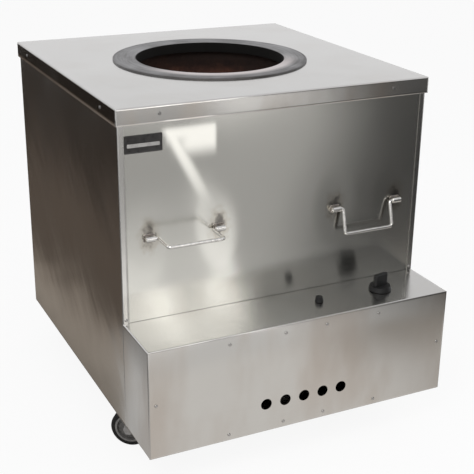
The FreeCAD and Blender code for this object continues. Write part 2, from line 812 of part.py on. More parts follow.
def gas_jet():
    """A brass elbow whose nose passes through the shutter into the tube's face."""
    body = part("gas_jet", 0, y_feed, z_burner)
    half = d.jet_block / 2
    pad(body, rectangle(sketch_on(body, "XY"), -half, half, -half, half), d.jet_block, symmetric=True)
    pad(body, circle(sketch_on(body, "XY"), d.jet_boss), half + d.jet_boss_height)
    shoulder = half + d.jet_shoulder
    tip = y_tube + d.face_plate - y_feed
    corners = [(0, half), (d.jet_shoulder_radius, half), (d.jet_shoulder_radius, shoulder),
               (d.jet_neck, shoulder), (d.jet_neck, tip), (d.jet_neck / 2, tip + d.jet_nose),
               (0, tip + d.jet_nose)]
    spin(body, loop(sketch_on(body, "XY"), corners), "Y")


# Gas line
def manifold_pipe():
    """A pipe closed at its left end, with a tapped saddle for each valve."""
    body = part("manifold_pipe", 0, y_line, z_manifold)
    left, right = d.pilot_place - d.manifold_tail, half_width - d.inlet_length + d.pipe_socket
    outer, wall = d.manifold_radius, d.manifold_wall
    spin(body, rectangle(sketch_on(body, "XZ"), left, right, 0, outer), "X")
    saddles = sketch_on(body, "XY")
    taps = sketch_on(body, "XY", d.saddle_height)
    for place in (d.pilot_place, main_x):
        circle(saddles, d.saddle_radius, place)
        circle(taps, d.tap_radius + d.running_fit, place)
    pad(body, saddles, d.saddle_height)
    spin(body, rectangle(sketch_on(body, "XZ"), left + wall, right, 0, outer - wall), "X", "Groove")
    pocket(body, taps, d.saddle_height)


def inlet_socket():
    """A flanged socket through the box's right end: pipe on the inside, thread on the outside."""
    body = part("inlet_socket", half_width, y_line, z_manifold)
    inner, outer, pipe = -d.inlet_length, d.inlet_proud, d.manifold_radius + d.running_fit
    seat = -d.box_gauge
    corners = [(inner, pipe), (inner, d.inlet_radius), (seat - d.inlet_flange_gauge, d.inlet_radius),
               (seat - d.inlet_flange_gauge, d.inlet_flange), (seat, d.inlet_flange), (seat, d.inlet_radius),
               (outer, d.inlet_radius), (outer, d.thread_radius), (outer - d.thread_depth, d.thread_radius),
               (outer - d.thread_depth, d.passage_radius), (inner + d.pipe_socket, d.passage_radius),
               (inner + d.pipe_socket, pipe)]
    spin(body, loop(sketch_on(body, "XZ"), corners), "X")


def valve_stem(label, place, body_radius, body_height, bonnet_radius, bonnet_height):
    """The turned part of a valve: tap end, body and bonnet."""
    body = part(label, place, y_line, z_saddle)
    top = body_height + bonnet_height
    corners = [(0, -d.tap_depth), (d.tap_radius, -d.tap_depth), (d.tap_radius, 0), (body_radius, 0),
               (body_radius, body_height), (bonnet_radius, body_height), (bonnet_radius, top), (0, top)]
    spin(body, loop(sketch_on(body, "XZ"), corners), "Z")
    return body


def bore_for_spindle(body, top, seat, radius):
    bore = circle(sketch_on(body, "XY", top), radius + d.running_fit)
    pocket(body, bore, top - seat)


def main_valve_body():
    body = valve_stem("main_valve_body", main_x, d.main_body_radius, d.main_body_height,
                      d.main_bonnet_radius, d.main_bonnet_height)
    radius, level = d.main_outlet_radius, d.main_outlet_height
    elbow = d.main_elbow_radius
    pad(body, circle(sketch_on(body, "XZ"), elbow, 0, level), d.feed_offset + elbow)
    pad(body, circle(sketch_on(body, "YZ"), radius, -d.feed_offset, level), d.feed_elbow, backward=True)
    top = d.main_body_height + d.main_bonnet_height
    bore_for_spindle(body, top, d.main_spindle_seat, d.main_spindle_radius)


def pilot_valve_body():
    body = valve_stem("pilot_valve_body", d.pilot_place, d.pilot_body_radius, d.pilot_body_height,
                      d.pilot_bonnet_radius, d.pilot_bonnet_height)
    outlet = circle(sketch_on(body, "XZ"), d.pilot_outlet_radius, 0, d.pilot_outlet_height)
    pad(body, outlet, d.pilot_outlet_reach, backward=True)
    top = d.pilot_body_height + d.pilot_bonnet_height
    bore_for_spindle(body, top, d.pilot_spindle_seat, d.pilot_spindle_radius)


def spindle(label, place, seat, radius, socket):
    """A round shaft from the valve's seat up into the knob's blind hole."""
    foot = z_saddle + seat + d.sliding_gap
    body = part(label, place, y_line, foot)
    pad(body, circle(sketch_on(body, "XY"), radius), z_box_top + d.knob_gap + socket - d.sliding_gap - foot)


def main_knob():
    """A tapered skirt with a raised bar to grip."""
    body = part("main_knob", main_x, y_line, z_box_top + d.knob_gap, Vector(0, 0, 1), d.knob_turn)
    rim, skirt = d.knob_radius, d.knob_skirt
    corners = [(0, 0), (rim, 0), (rim, d.knob_rim), (rim - d.knob_taper, skirt), (0, skirt)]
    spin(body, loop(sketch_on(body, "XZ"), corners), "Z")
    half = d.knob_grip_width / 2
    end = d.knob_grip_length / 2 - half
    bar = [(end, -half), (end, half), (-end, half), (-end, -half)]
    loop_arcs = {0: (end, 0, 1), 2: (-end, 0, 1)}
    pad(body, loop(sketch_on(body, "XY"), bar, loop_arcs), skirt + d.knob_grip_height)
    top = (skirt + d.knob_grip_height).value
    round_edges(body, d.knob_round, lambda edge: near(edge.BoundBox.ZMin, top))
    socket = circle(sketch_on(body, "XY"), d.main_spindle_radius + d.running_fit)
    pocket(body, socket, d.knob_socket, backward=True)


def pilot_knob():
    body = part("pilot_knob", d.pilot_place, y_line, z_box_top + d.knob_gap)
    height = d.pilot_knob_height
    corners = [(0, 0), (d.pilot_knob_base, 0), (d.pilot_knob_top, height), (0, height)]
    spin(body, loop(sketch_on(body, "XZ"), corners), "Z")
    socket = circle(sketch_on(body, "XY"), d.pilot_spindle_radius + d.running_fit)
    pocket(body, socket, d.pilot_knob_socket, backward=True)


def pipe_along(body, spine, profile_sketch, radius, wall):
    """A tube of the given radius and wall swept along the spine."""
    circle(profile_sketch, radius)
    circle(profile_sketch, radius - wall)
    made = body.newObject("PartDesign::AdditivePipe", "Pipe")
    made.Profile = profile_sketch
    doc.recompute()
    made.Spine = (spine, [f"Edge{i + 1}" for i in range(len(spine.Shape.Edges))])


def jet_feed_pipe():
    """From the main valve's elbow to the left, then down onto the jet."""
    start, level = main_x - d.feed_elbow, z_saddle + d.main_outlet_height
    body = part("jet_feed_pipe", start, y_feed, level)
    down = z_burner + d.jet_block / 2 + d.jet_boss_height - level
    spine = bent_path(sketch_on(body, "XZ"), [(0, 0), (-start, 0), (-start, down)], d.feed_bend)
    pipe_along(body, spine, sketch_on(body, "YZ"), d.feed_radius, d.feed_wall)


def pilot_tube():
    """From the pilot valve towards the back, down, and in through the casing to the burner's edge."""
    start, level = y_line + d.pilot_outlet_reach, z_saddle + d.pilot_outlet_height
    body = part("pilot_tube", d.pilot_place, start, level)
    turn, low = y_front - d.pilot_standoff - start, z_pilot_tube - level
    corners = [(0, 0), (turn, 0), (turn, low), (y_middle - d.pilot_reach - start, low)]
    spine = bent_path(sketch_on(body, "YZ"), corners, d.pilot_tube_bend)
    pipe_along(body, spine, sketch_on(body, "XZ"), d.pilot_tube_radius, d.pilot_tube_wall)


def pipe_clips():
    """Two straps that hang the pipe from the box's top: a ring, a stem and a foot."""
    body = part("pipe_clips", main_x - d.clip_first, y_line, z_manifold)
    bore = d.manifold_radius + d.running_fit
    outer, half, foot = bore + d.clip_gauge, d.clip_gauge / 2, d.clip_foot / 2
    top = d.manifold_drop - d.box_gauge
    for shift in (0, d.clip_pitch):
        stem = rectangle(sketch_on(body, "YZ", shift), -half, half, bore + half, top)
        pad(body, stem, d.clip_width, symmetric=True)
        plate = rectangle(sketch_on(body, "YZ", shift), -foot, foot, top - d.clip_gauge, top)
        pad(body, plate, d.clip_width, symmetric=True)
        ring = circle(circle(sketch_on(body, "YZ", shift), outer), bore)
        pad(body, ring, d.clip_width, symmetric=True)


# Burner box
def box_screw_places():
    """Across and up from the middle of the box's lower edge."""
    places = []
    for side in (-1, 1):
        for across in (d.box_screw_inner, d.box_screw_outer):
            places.append((side * across, d.box_height - d.box_screw_top))
            places.append((side * across, d.box_screw_bottom))
        places.append((side * (half_width - d.box_screw_edge), d.box_height / 2))
    return places


def burner_box_casing():
    """A folded tunnel, open at the back, with a flange round its front for the cover."""
    body = part("burner_box_casing", 0, y_front, d.ground_gap)
    gauge = d.box_gauge

    def frame_of(inset, lift):
        sketch = rectangle(sketch_on(body, "XZ", lift), -half_width, half_width, 0, d.box_height)
        return rectangle(sketch, inset - half_width, half_width - inset, inset, d.box_height - inset)

    pad(body, frame_of(gauge, 0), d.box_depth - gauge)
    side = half_width.value
    round_edges(body, d.box_bend, lambda edge: near(abs(edge.CenterOfMass.x), side)
                and edge.BoundBox.YLength > d.box_flange.value)
    flange = frame_of(d.box_flange, d.box_depth - 2 * gauge)
    for x, z in box_screw_places():
        circle(flange, d.screw_radius + d.screw_fit, x, z)
    pad(body, flange, gauge)
    holes = sketch_on(body, "XY", d.box_height)
    circle(holes, d.main_spindle_radius + d.spindle_hole_gap, main_x, -d.box_depth / 2)
    circle(holes, d.pilot_spindle_radius + d.spindle_hole_gap, d.pilot_place, -d.box_depth / 2)
    pocket(body, holes, 2 * gauge)
    inlet = sketch_on(body, "YZ", half_width)
    circle(inlet, d.inlet_radius + d.sliding_gap, -d.box_depth / 2, d.box_height - d.manifold_drop)
    pocket(body, inlet, 2 * gauge)


def burner_box_front():
    body = part("burner_box_front", 0, y_front - d.box_depth + d.box_gauge, d.ground_gap)
    sketch = rectangle(sketch_on(body, "XZ"), -half_width, half_width, 0, d.box_height)
    count = int(d.air_hole_count.value)
    for i in range(count):
        circle(sketch, d.air_hole_radius, d.air_hole_pitch * (i - (count - 1) / 2), d.air_hole_height)
    for x, z in box_screw_places():
        circle(sketch, d.screw_radius + d.screw_fit, x, z)
    pad(body, sketch, d.box_gauge)
    side, gauge = half_width.value, d.box_gauge.value
    round_edges(body, d.box_bend, lambda edge: near(abs(edge.CenterOfMass.x), side)
                and near(edge.BoundBox.YLength, gauge))


# Fasteners
def screws_along(body, plane, lift, places, outward, shank):
    """Dome-headed screws on a plane of the body: the heads stand outwards, the shanks go in."""
    heads, shanks = sketch_on(body, plane, lift), sketch_on(body, plane, lift)
    for x, y in places:
        circle(heads, d.screw_head_radius, x, y)
        circle(shanks, d.screw_radius, x, y)
    pad(body, heads, d.screw_head, backward=not outward)
    crest = as_size(lift + d.screw_head if outward else lift - d.screw_head).value
    normal = Vector(0, -1, 0) if plane == "XZ" else Vector(1, 0, 0)
    round_edges(body, d.screw_head * 0.75, lambda edge: near(edge.CenterOfMass.dot(normal), crest))
    pad(body, shanks, shank, backward=outward)


def box_screws():
    body = part("box_screws", 0, y_front - d.box_depth, d.ground_gap)
    screws_along(body, "XZ", 0, box_screw_places(), True, 2 * d.box_gauge + d.screw_tail)


def panel_screws():
    body = part("panel_screws", 0, y_front, d.ground_gap)
    places = [(side * panel_screw_x, level) for side in (-1, 1) for level in (low_screw_z, high_screw_z)]
    screws_along(body, "XZ", 0, places, True, 2 * d.sheet_gauge + d.angle_wall)


def cover_rivets():
    """Two through each side of the cover's lip, the panel behind it and the top frame."""
    body = part("cover_rivets", 0, y_middle, z_top - d.rivet_drop)
    for plane, along, reach, inside in (("XZ", rivet_x, half_depth, frame_y),
                                        ("YZ", rivet_y, half_width, frame_x)):
        places = [(-along, 0), (along, 0)]
        face = reach + d.cover_overhang
        shank = face - inside + d.angle_wall
        screws_along(body, plane, face, places, True, shank)
        screws_along(body, plane, -face, places, False, shank)


# Handles
def handle_sleeves(label, side):
    """Two short tubes on a foot, welded to the front panel in line with each other."""
    body = part(label, side * handle_x, y_panel, z_handle)
    radius, away = d.sleeve_radius, -d.handle_standoff
    profile = [(0, -radius), (away, -radius), (away, radius), (0, radius)]
    for start, backward in ((sleeve_start, False), (-sleeve_start, True)):
        sketch = loop(sketch_on(body, "YZ", start), profile, {1: (away, 0, -1)})
        circle(sketch, d.bail_radius + d.running_fit, away, 0)
        pad(body, sketch, d.sleeve_length, backward=backward)


def handle_bail(label, side, lift):
    """A bent rod: two ends in the sleeves, two legs and a bar, swung out from hanging by the lift."""
    body = part(label, side * handle_x, y_handle, z_handle, Vector(-1, 0, 0), lift)
    leg, drop = d.bail_span / 2, -d.bail_drop
    end = sleeve_start + d.bail_tail
    corners = [(-end, 0), (-leg, 0), (-leg, drop), (leg, drop), (leg, 0), (end, 0)]
    spine = bent_path(sketch_on(body, "XZ"), corners, d.bail_bend)
    profile = circle(sketch_on(body, "YZ", -end), d.bail_radius)
    made = body.newObject("PartDesign::AdditivePipe", "Pipe")
    made.Profile = profile
    doc.recompute()
    made.Spine = (spine, [f"Edge{i + 1}" for i in range(len(spine.Shape.Edges))])


# Castors
castor_x = half_width - d.castor_inset
castor_front = y_front + d.castor_inset
castor_rear = y_front + d.body_depth - d.castor_inset
z_plate = d.castor_height - d.plate_gauge
z_crown = z_plate - d.race_height - d.sliding_gap
fork_inside = d.hub_width + 2 * d.fork_gap
fork_outside = fork_inside + 2 * d.fork_gauge
CASTORS = {
    "front_left": (-castor_x, castor_front, d.left_castor_yaw, d.castor_trail),
    "front_right": (castor_x, castor_front, d.right_castor_yaw, d.castor_trail),
    "rear_left": (-castor_x, castor_rear, d.rear_castor_yaw, as_size(0)),
    "rear_right": (castor_x, castor_rear, d.rear_castor_yaw, as_size(0)),
}
UPRIGHT = Vector(0, 0, 1)


def bolt_places_of(x, y):
    long, short = d.bolt_length_pitch / 2, d.bolt_width_pitch / 2
    return [(x + a * long, y + b * short) for a in (-1, 1) for b in (-1, 1)]


def bolt_places():
    return [place for x, y, yaw, trail in CASTORS.values() for place in bolt_places_of(x, y)]


def mounting_plate(body, x, y, height):
    """A plate with four bolt holes, its top at the frame's underside."""
    across, along = d.plate_length / 2, d.plate_width / 2
    sketch = rectangle(sketch_on(body, "XY", height), x - across, x + across, y - along, y + along)
    for bolt_x, bolt_y in bolt_places_of(x, y):
        circle(sketch, d.bolt_radius + d.screw_fit, bolt_x, bolt_y)
    pad(body, sketch, d.plate_gauge, backward=True)


def castor_plates():
    """The fixed halves of the two swivel castors: plate and ball race."""
    body = part("castor_plates", 0, 0, d.castor_height)
    for x, y, yaw, trail in (CASTORS["front_left"], CASTORS["front_right"]):
        mounting_plate(body, x, y, 0)
        race = circle(sketch_on(body, "XY"), d.race_radius, x, y)
        pad(body, race, d.plate_gauge + d.race_height, backward=True)
        pocket(body, circle(sketch_on(body, "XY"), d.kingpin_radius + d.running_fit, x, y))


def castor_kingpins():
    """A pin through race and fork, with a head under the fork's crown."""
    body = part("castor_kingpins", 0, 0, d.castor_height)
    head = z_crown - d.fork_gauge - d.sliding_gap - d.castor_height
    for x, y, yaw, trail in (CASTORS["front_left"], CASTORS["front_right"]):
        pad(body, circle(sketch_on(body, "XY"), d.kingpin_radius, x, y), -head, backward=True)
        button = circle(sketch_on(body, "XY", head), d.kingpin_head, x, y)
        pad(body, button, d.kingpin_head_height, backward=True)


def fork_legs(body, outline, arcs, top):
    """Pads the side view to the fork's width and clears the room for the wheel."""
    pad(body, loop(sketch_on(body, "XZ"), outline, arcs), fork_outside, symmetric=True)
    room = rectangle(sketch_on(body, "YZ"), -fork_inside / 2, fork_inside / 2, 0, top)
    pocket(body, room, symmetric=True)


def swivel_fork(name):
    x, y, yaw, trail = CASTORS[name]
    body = part(name + "_fork", x, y, 0, UPRIGHT, yaw)
    crown, foot, axle = d.fork_crown, d.fork_foot, d.wheel_radius
    outline = [(-crown, z_crown), (crown, z_crown), (trail + foot, axle), (trail - foot, axle),
               (-crown, z_crown - d.fork_side)]
    fork_legs(body, outline, {2: (trail, axle, -1)}, z_crown - d.fork_gauge)
    pocket(body, circle(sketch_on(body, "XY", z_crown), d.kingpin_radius + d.running_fit), d.fork_gauge)
    pocket(body, circle(sketch_on(body, "XZ"), d.axle_radius + d.running_fit, trail, axle), symmetric=True)


def rigid_fork(name):
    x, y, yaw, trail = CASTORS[name]
    body = part(name + "_fork", x, y, 0)
    crown, foot, axle = d.plate_width / 2, d.fork_foot, d.wheel_radius
    outline = [(-crown, z_plate), (-foot, axle), (foot, axle), (crown, z_plate)]
    sides = loop(sketch_on(body, "YZ"), outline, {1: (0, axle, 1)})
    pad(body, sides, fork_outside, symmetric=True)
    room = rectangle(sketch_on(body, "XZ"), -fork_inside / 2, fork_inside / 2, 0, z_plate)
    mounting_plate(body, as_size(0), as_size(0), d.castor_height)
    pocket(body, room, symmetric=True)
    pocket(body, circle(sketch_on(body, "YZ"), d.axle_radius + d.running_fit, 0, axle), symmetric=True)


def wheel_part(label, name):
    """A body at the wheel's centre whose own Y is the axle."""
    x, y, yaw, trail = CASTORS[name]
    return part(label, x + trail * cosine(yaw), y + trail * sine(yaw), d.wheel_radius, UPRIGHT, yaw)


def wheel_axle(name):
    body = wheel_part(name + "_axle", name)
    half = fork_outside / 2
    pad(body, circle(sketch_on(body, "XZ"), d.axle_radius), fork_outside, symmetric=True)
    pad(body, hexagon(sketch_on(body, "XZ", half), d.hex_radius), d.hex_height)
    pad(body, hexagon(sketch_on(body, "XZ", -half), d.hex_radius), d.hex_height, backward=True)


def wheel_hub(name):
    """Boss, web and rim in one turned piece."""
    body = wheel_part(name + "_hub", name)
    bore, boss, rim = d.axle_radius + d.running_fit, d.hub_boss, d.rim_radius
    inside, wide, web, edge = rim - d.rim_wall, d.hub_width / 2, d.hub_web / 2, d.tyre_width / 2
    half = [(bore, wide), (boss, wide), (boss, web), (inside, web), (inside, edge), (rim, edge)]
    spin(body, loop(sketch_on(body, "XY"), half + [(x, -y) for x, y in reversed(half)]), "Y")


def wheel_tyre(name):
    body = wheel_part(name + "_tyre", name)
    rim, outer, edge, bend = d.rim_radius, d.wheel_radius, d.tyre_width / 2, d.tyre_round
    corners = [(rim, -edge), (outer - bend, -edge), (outer, bend - edge), (outer, edge - bend),
               (outer - bend, edge), (rim, edge)]
    arcs = {1: (outer - bend, bend - edge, 1), 3: (outer - bend, edge - bend, 1)}
    spin(body, loop(sketch_on(body, "XY"), corners, arcs), "Y")


def castor_bolts():
    body = part("castor_bolts", 0, 0, z_plate)
    heads, shanks = sketch_on(body, "XY"), sketch_on(body, "XY")
    for x, y in bolt_places():
        hexagon(heads, d.bolt_hex_radius, x, y)
        circle(shanks, d.bolt_radius, x, y)
    pad(body, heads, d.bolt_hex_height, backward=True)
    pad(body, shanks, d.plate_gauge + d.angle_wall)


def build():
    side_panel("left_side_panel", -1)
    side_panel("right_side_panel", 1)
    for make in (front_panel, back_panel, top_cover, mouth_ring, clay_pot, mouth_collar, hearth_ring,
                 insulation_fill, base_frame, corner_posts, top_frame, base_plate):
        make()
    for make in (burner_stand, burner_head, flame_spreader, mixing_tube, air_shutter, gas_jet,
                 manifold_pipe, inlet_socket, pipe_clips, main_valve_body, pilot_valve_body):
        make()
    spindle("main_valve_spindle", main_x, d.main_spindle_seat, d.main_spindle_radius, d.knob_socket)
    spindle("pilot_valve_spindle", d.pilot_place, d.pilot_spindle_seat, d.pilot_spindle_radius,
            d.pilot_knob_socket)
    for make in (main_knob, pilot_knob, jet_feed_pipe, pilot_tube, burner_box_casing, burner_box_front,
                 box_screws, panel_screws, cover_rivets):
        make()
    for name, side, lift in (("left", -1, d.left_bail_lift), ("right", 1, d.right_bail_lift)):
        handle_sleeves(name + "_handle_sleeves", side)
        handle_bail(name + "_handle_bail", side, lift)
    castor_plates()
    castor_kingpins()
    castor_bolts()
    for name, (x, y, yaw, trail) in CASTORS.items():
        fork = swivel_fork if trail.value > 0 else rigid_fork
        for make in (fork, wheel_axle, wheel_hub, wheel_tyre):
            make(name)


def check():
    """Stops before anything is written if an object failed or a shape is empty or invalid."""
    for item in doc.Objects:
        if "Invalid" in item.State or "Error" in item.State:
            raise RuntimeError(f"{item.Label} is {item.State}")
    for body in nodes:
        if body.Shape.isNull() or not body.Shape.isValid() or not body.Shape.Solids:
            raise RuntimeError(f"{body.Label} has no valid shape")


build()
doc.recompute()
check()
os.makedirs("parts", exist_ok=True)
for body in nodes:
    body.Shape.exportStep(f"parts/{body.Label}.step")
    print(f"{body.Label}: {len(body.Shape.Solids)} solids, {body.Shape.Volume / 1000:.1f} cm3")
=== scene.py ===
# %% [markdown]
# A square gas tandoor. The imported model already has every piece in its place, in metres. All of it
# could be modelled afresh, but the solids have the right shapes and move on their joints, so most of
# them stay and this lesson dresses them: rolled steel sheet with a dull mirror finish, a dark iron
# ring, a sooty clay pot, bright handles and rubber tyres.

# %% Load the imported model
import math

import bpy
import numpy as np
from mathutils import Matrix, Vector


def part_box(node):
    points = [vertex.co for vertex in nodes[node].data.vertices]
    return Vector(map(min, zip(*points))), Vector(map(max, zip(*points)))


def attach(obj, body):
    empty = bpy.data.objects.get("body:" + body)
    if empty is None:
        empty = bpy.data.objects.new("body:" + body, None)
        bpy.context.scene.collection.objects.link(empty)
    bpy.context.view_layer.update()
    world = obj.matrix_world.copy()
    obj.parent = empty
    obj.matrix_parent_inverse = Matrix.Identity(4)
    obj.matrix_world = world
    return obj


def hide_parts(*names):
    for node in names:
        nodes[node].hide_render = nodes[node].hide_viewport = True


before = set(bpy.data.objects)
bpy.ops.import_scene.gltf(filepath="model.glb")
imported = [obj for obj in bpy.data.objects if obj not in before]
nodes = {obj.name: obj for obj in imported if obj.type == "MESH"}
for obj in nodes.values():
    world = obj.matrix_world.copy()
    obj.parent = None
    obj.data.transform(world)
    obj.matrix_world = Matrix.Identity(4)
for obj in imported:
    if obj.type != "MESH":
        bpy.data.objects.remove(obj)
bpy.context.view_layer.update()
scene = bpy.context.scene
scene.view_settings.view_transform = "Standard"

# %% [markdown]
# A shader tree could be wired by hand in the Shader Editor. In a script it is easier to read when one
# call adds a node, sets it and links it. The same calls serve materials and node groups. A group is an
# effect that several finishes share: it has named inputs and outputs, and puts out only values that
# change over the surface, so that the shader itself stays in the material.

# %% Helpers for nodes and groups
def give(tree, socket, value):
    """Links another node's output to the socket, or sets the socket to a plain value."""
    if isinstance(value, bpy.types.NodeSocket):
        tree.links.new(value, socket)
    else:
        socket.default_value = value


def add(tree, kind, inputs=None, **settings):
    """Adds one shader node; inputs maps a socket's name or number to a value or to another output."""
    node = tree.nodes.new("ShaderNode" + kind)
    for key, value in settings.items():
        setattr(node, key, value)
    for key, value in (inputs or {}).items():
        give(tree, node.inputs[key], value)
    return node


def new_group(name, inputs, outputs):
    """A group with float and vector sockets; returns its tree, what it is given and where results go."""
    tree = bpy.data.node_groups.new(name, "ShaderNodeTree")
    for title, (kind, start) in inputs.items():
        socket = tree.interface.new_socket(title, in_out="INPUT", socket_type="NodeSocket" + kind)
        if start is not None:
            socket.default_value = start
    for title, kind in outputs.items():
        tree.interface.new_socket(title, in_out="OUTPUT", socket_type="NodeSocket" + kind)
    return tree, tree.nodes.new("NodeGroupInput").outputs, tree.nodes.new("NodeGroupOutput").inputs


def place_group(tree, group, inputs):
    """Places a group in a material with that material's values; returns the outputs."""
    node = tree.nodes.new("ShaderNodeGroup")
    node.node_tree = group
    for key, value in inputs.items():
        give(tree, node.inputs[key], value)
    return node.outputs


print("helpers for nodes and groups ready")

# %% [markdown]
# Most of a shader tree is plain arithmetic, and short names for the sums keep a formula on one line.
# Masks could come from colour ramps, but those run only from 0 to 1. Two smooth steps, one up and one
# down, take their ends in metres or any other unit, so they make nearly all of the masks.

# %% Helpers for sums and masks
def math_node(tree, operation, *values, clamp=False):
    """One arithmetic node on up to three values; returns its output."""
    return add(tree, "Math", dict(enumerate(values)), operation=operation, use_clamp=clamp).outputs[0]


def plus(tree, first, second):
    """First + second."""
    return math_node(tree, "ADD", first, second)


def minus(tree, first, second):
    """First - second."""
    return math_node(tree, "SUBTRACT", first, second)


def times(tree, first, second):
    """First x second."""
    return math_node(tree, "MULTIPLY", first, second)


def times_plus(tree, value, factor, extra):
    """Value x factor + extra."""
    return math_node(tree, "MULTIPLY_ADD", value, factor, extra)


def size_of(tree, value):
    """The value without its sign."""
    return math_node(tree, "ABSOLUTE", value)


def vector_math(tree, operation, *values):
    """One node on up to two vectors; returns its output."""
    return add(tree, "VectorMath", dict(enumerate(values)), operation=operation).outputs[0]


def split(tree, vector):
    """The x, y and z of a vector."""
    return add(tree, "SeparateXYZ", {0: vector}).outputs


def noise(tree, vector, scale, detail, roughness=0.5):
    """Noise from 0 to 1: detail is the number of finer layers on it, and roughness their strength."""
    inputs = {"Vector": vector, "Scale": scale, "Detail": detail, "Roughness": roughness}
    return add(tree, "TexNoise", inputs).outputs[0]


def blend_colour(tree, share, first, second):
    """Colour mix: first where share is 0, second where it is 1."""
    return add(tree, "Mix", {0: share, 6: first, 7: second}, data_type="RGBA").outputs[2]


def step_between(tree, value, low, high):
    """Smooth step up: 0 below low, 1 above high."""
    return add(tree, "MapRange", {0: value, 1: low, 2: high}, interpolation_type="SMOOTHSTEP").outputs[0]


def fade_between(tree, value, low, high):
    """Smooth step down: 1 below low, 0 above high."""
    return minus(tree, 1.0, step_between(tree, value, low, high))


print("helpers for sums and masks ready")

# %% [markdown]
# Cold-rolled sheet is never flat or even. It carries a fine grain along the rolling direction, cloudy
# marks from hands and cloths that change its gloss, and slow waves from folding and welding that bend
# what it mirrors. Picture textures could show this, but they would repeat and need unwrapping. One
# group makes all three from noise, so each panel only sets its own strengths.

# %% Group: rolled sheet
CLOUD_SHADE, GRAIN_HEIGHT = -0.6, 0.0006
tree, given, made = new_group(
    "rolled_sheet",
    {"Vector": ("Vector", None), "Across Grain": ("Vector", (4.0, 4.0, 900.0)), "Roughness": ("Float", 0.25),
     "Cloud": ("Float", 0.1), "Grain": ("Float", 0.05), "Wave": ("Float", 1.0)},
    {"Tone": "Float", "Roughness": "Float", "Height": "Float"})
grain = noise(tree, vector_math(tree, "MULTIPLY", given["Vector"], given["Across Grain"]), 1.0, 3.0, 0.6)
cloud = noise(tree, given["Vector"], 6.0, 5.0, 0.62)
wave = noise(tree, given["Vector"], 2.4, 1.5, 0.4)
grain_off = minus(tree, grain, 0.5)
cloud_off = minus(tree, cloud, 0.5)
rough = times_plus(tree, cloud_off, given["Cloud"], given["Roughness"])
rough = times_plus(tree, grain_off, given["Grain"], rough)
tone = times_plus(tree, grain_off, given["Grain"], 1.0)
tone = times_plus(tree, cloud_off, times(tree, given["Cloud"], CLOUD_SHADE), tone)
height = times_plus(tree, grain, GRAIN_HEIGHT, times(tree, wave, given["Wave"]))
for title, value in (("Tone", tone), ("Roughness", rough), ("Height", height)):
    tree.links.new(value, made[title])
rolled_sheet = tree
print("group", rolled_sheet.name, "with", len(rolled_sheet.nodes), "nodes")

# %% [markdown]
# A workshop floor leaves dust and dark smears on whatever is near it. They could be painted on piece by
# piece, but the height above the floor does it for all of them at once: the second group gives a grime
# mask that is strong near the floor and fades upwards, broken up by noise.

# %% Group: floor grime
tree, given, made = new_group(
    "floor_grime",
    {"Vector": ("Vector", None), "Reach": ("Float", 0.15), "Patch": ("Float", 30.0)},
    {"Mask": "Float"})
height = split(tree, given["Vector"])[2]
near_floor = math_node(tree, "SUBTRACT", 1.0, math_node(tree, "DIVIDE", height, given["Reach"]), clamp=True)
broken = step_between(tree, noise(tree, given["Vector"], given["Patch"], 6.0, 0.65), 0.35, 0.7)
tree.links.new(math_node(tree, "MULTIPLY", near_floor, broken, clamp=True), made["Mask"])
floor_grime = tree
print("group", floor_grime.name, "with", len(floor_grime.nodes), "nodes")

# %% [markdown]
# A folded corner is never sharp, so a thin line of light runs along it. Here the rounding goes into the
# bump, and the line of light is a painted highlight, a paler colour along the edge. A Bevel modifier
# could round it, but the meshes of the imported model stay as they are, so the third group finds the
# edges of a box from its two corners. A point on a face is at no distance from that face, so the middle
# one of its distances to the three pairs of faces is how far it is from the nearest edge.

# %% Group: folded edges
tree, given, made = new_group(
    "folded_edges",
    {"Vector": ("Vector", None), "Low": ("Vector", (0.0, 0.0, 0.0)), "High": ("Vector", (1.0, 1.0, 1.0)),
     "Radius": ("Float", 0.004)},
    {"Edge": "Float", "Height": "Float"})
above = vector_math(tree, "SUBTRACT", given["Vector"], given["Low"])
below = vector_math(tree, "SUBTRACT", given["High"], given["Vector"])
a, b, c = split(tree, vector_math(tree, "MINIMUM", above, below))
further = math_node(tree, "MINIMUM", math_node(tree, "MAXIMUM", a, b), c)
middle = math_node(tree, "MAXIMUM", math_node(tree, "MINIMUM", a, b), further)
within = math_node(tree, "SUBTRACT", 1.0, math_node(tree, "DIVIDE", middle, given["Radius"]), clamp=True)
fall = times(tree, times(tree, within, within), given["Radius"])
for title, value in (("Edge", within), ("Height", times(tree, fall, -0.5))):
    tree.links.new(value, made[title])
folded_edges = tree
print("group", folded_edges.name, "with", len(folded_edges.nodes), "nodes")

# %% [markdown]
# Every finish starts the same way: a material with one Principled shader, read in Object coordinates.
# Each solid could be unwrapped instead, but then a pattern would break at every seam. All objects sit
# at the origin, so Object coordinates are metres in the room, the same for every piece. Values that are
# the same all over a surface are set on the shader itself.

# %% A material to start from
def start_material(name, colour, metallic, roughness, specular=0.5, anisotropic=0.0):
    """A material with one Principled shader; returns it, its tree, the shader and Object coordinates."""
    material = bpy.data.materials.new(name)
    material.use_nodes = True
    tree = material.node_tree
    shader = tree.nodes["Principled BSDF"]
    values = {"Base Color": (*colour, 1.0), "Metallic": metallic, "Roughness": roughness,
              "Specular IOR Level": specular, "Anisotropic": anisotropic}
    for key, value in values.items():
        shader.inputs[key].default_value = value
    return material, tree, shader, add(tree, "TexCoord").outputs["Object"]


def set_bump(tree, shader, height, strength, distance):
    """Bends the shader's normal by a height that is given in shares of the distance."""
    bump = add(tree, "Bump", {"Height": height, "Strength": strength, "Distance": distance})
    tree.links.new(bump.outputs[0], shader.inputs["Normal"])


def dress(material, *names):
    """Gives CAD solids a material in place of the one that they came with."""
    for name in names:
        nodes[name].data.materials.clear()
        nodes[name].data.materials.append(material)
    print(material.name, "on", ", ".join(names))


print("ready to dress", len(nodes), "solids")
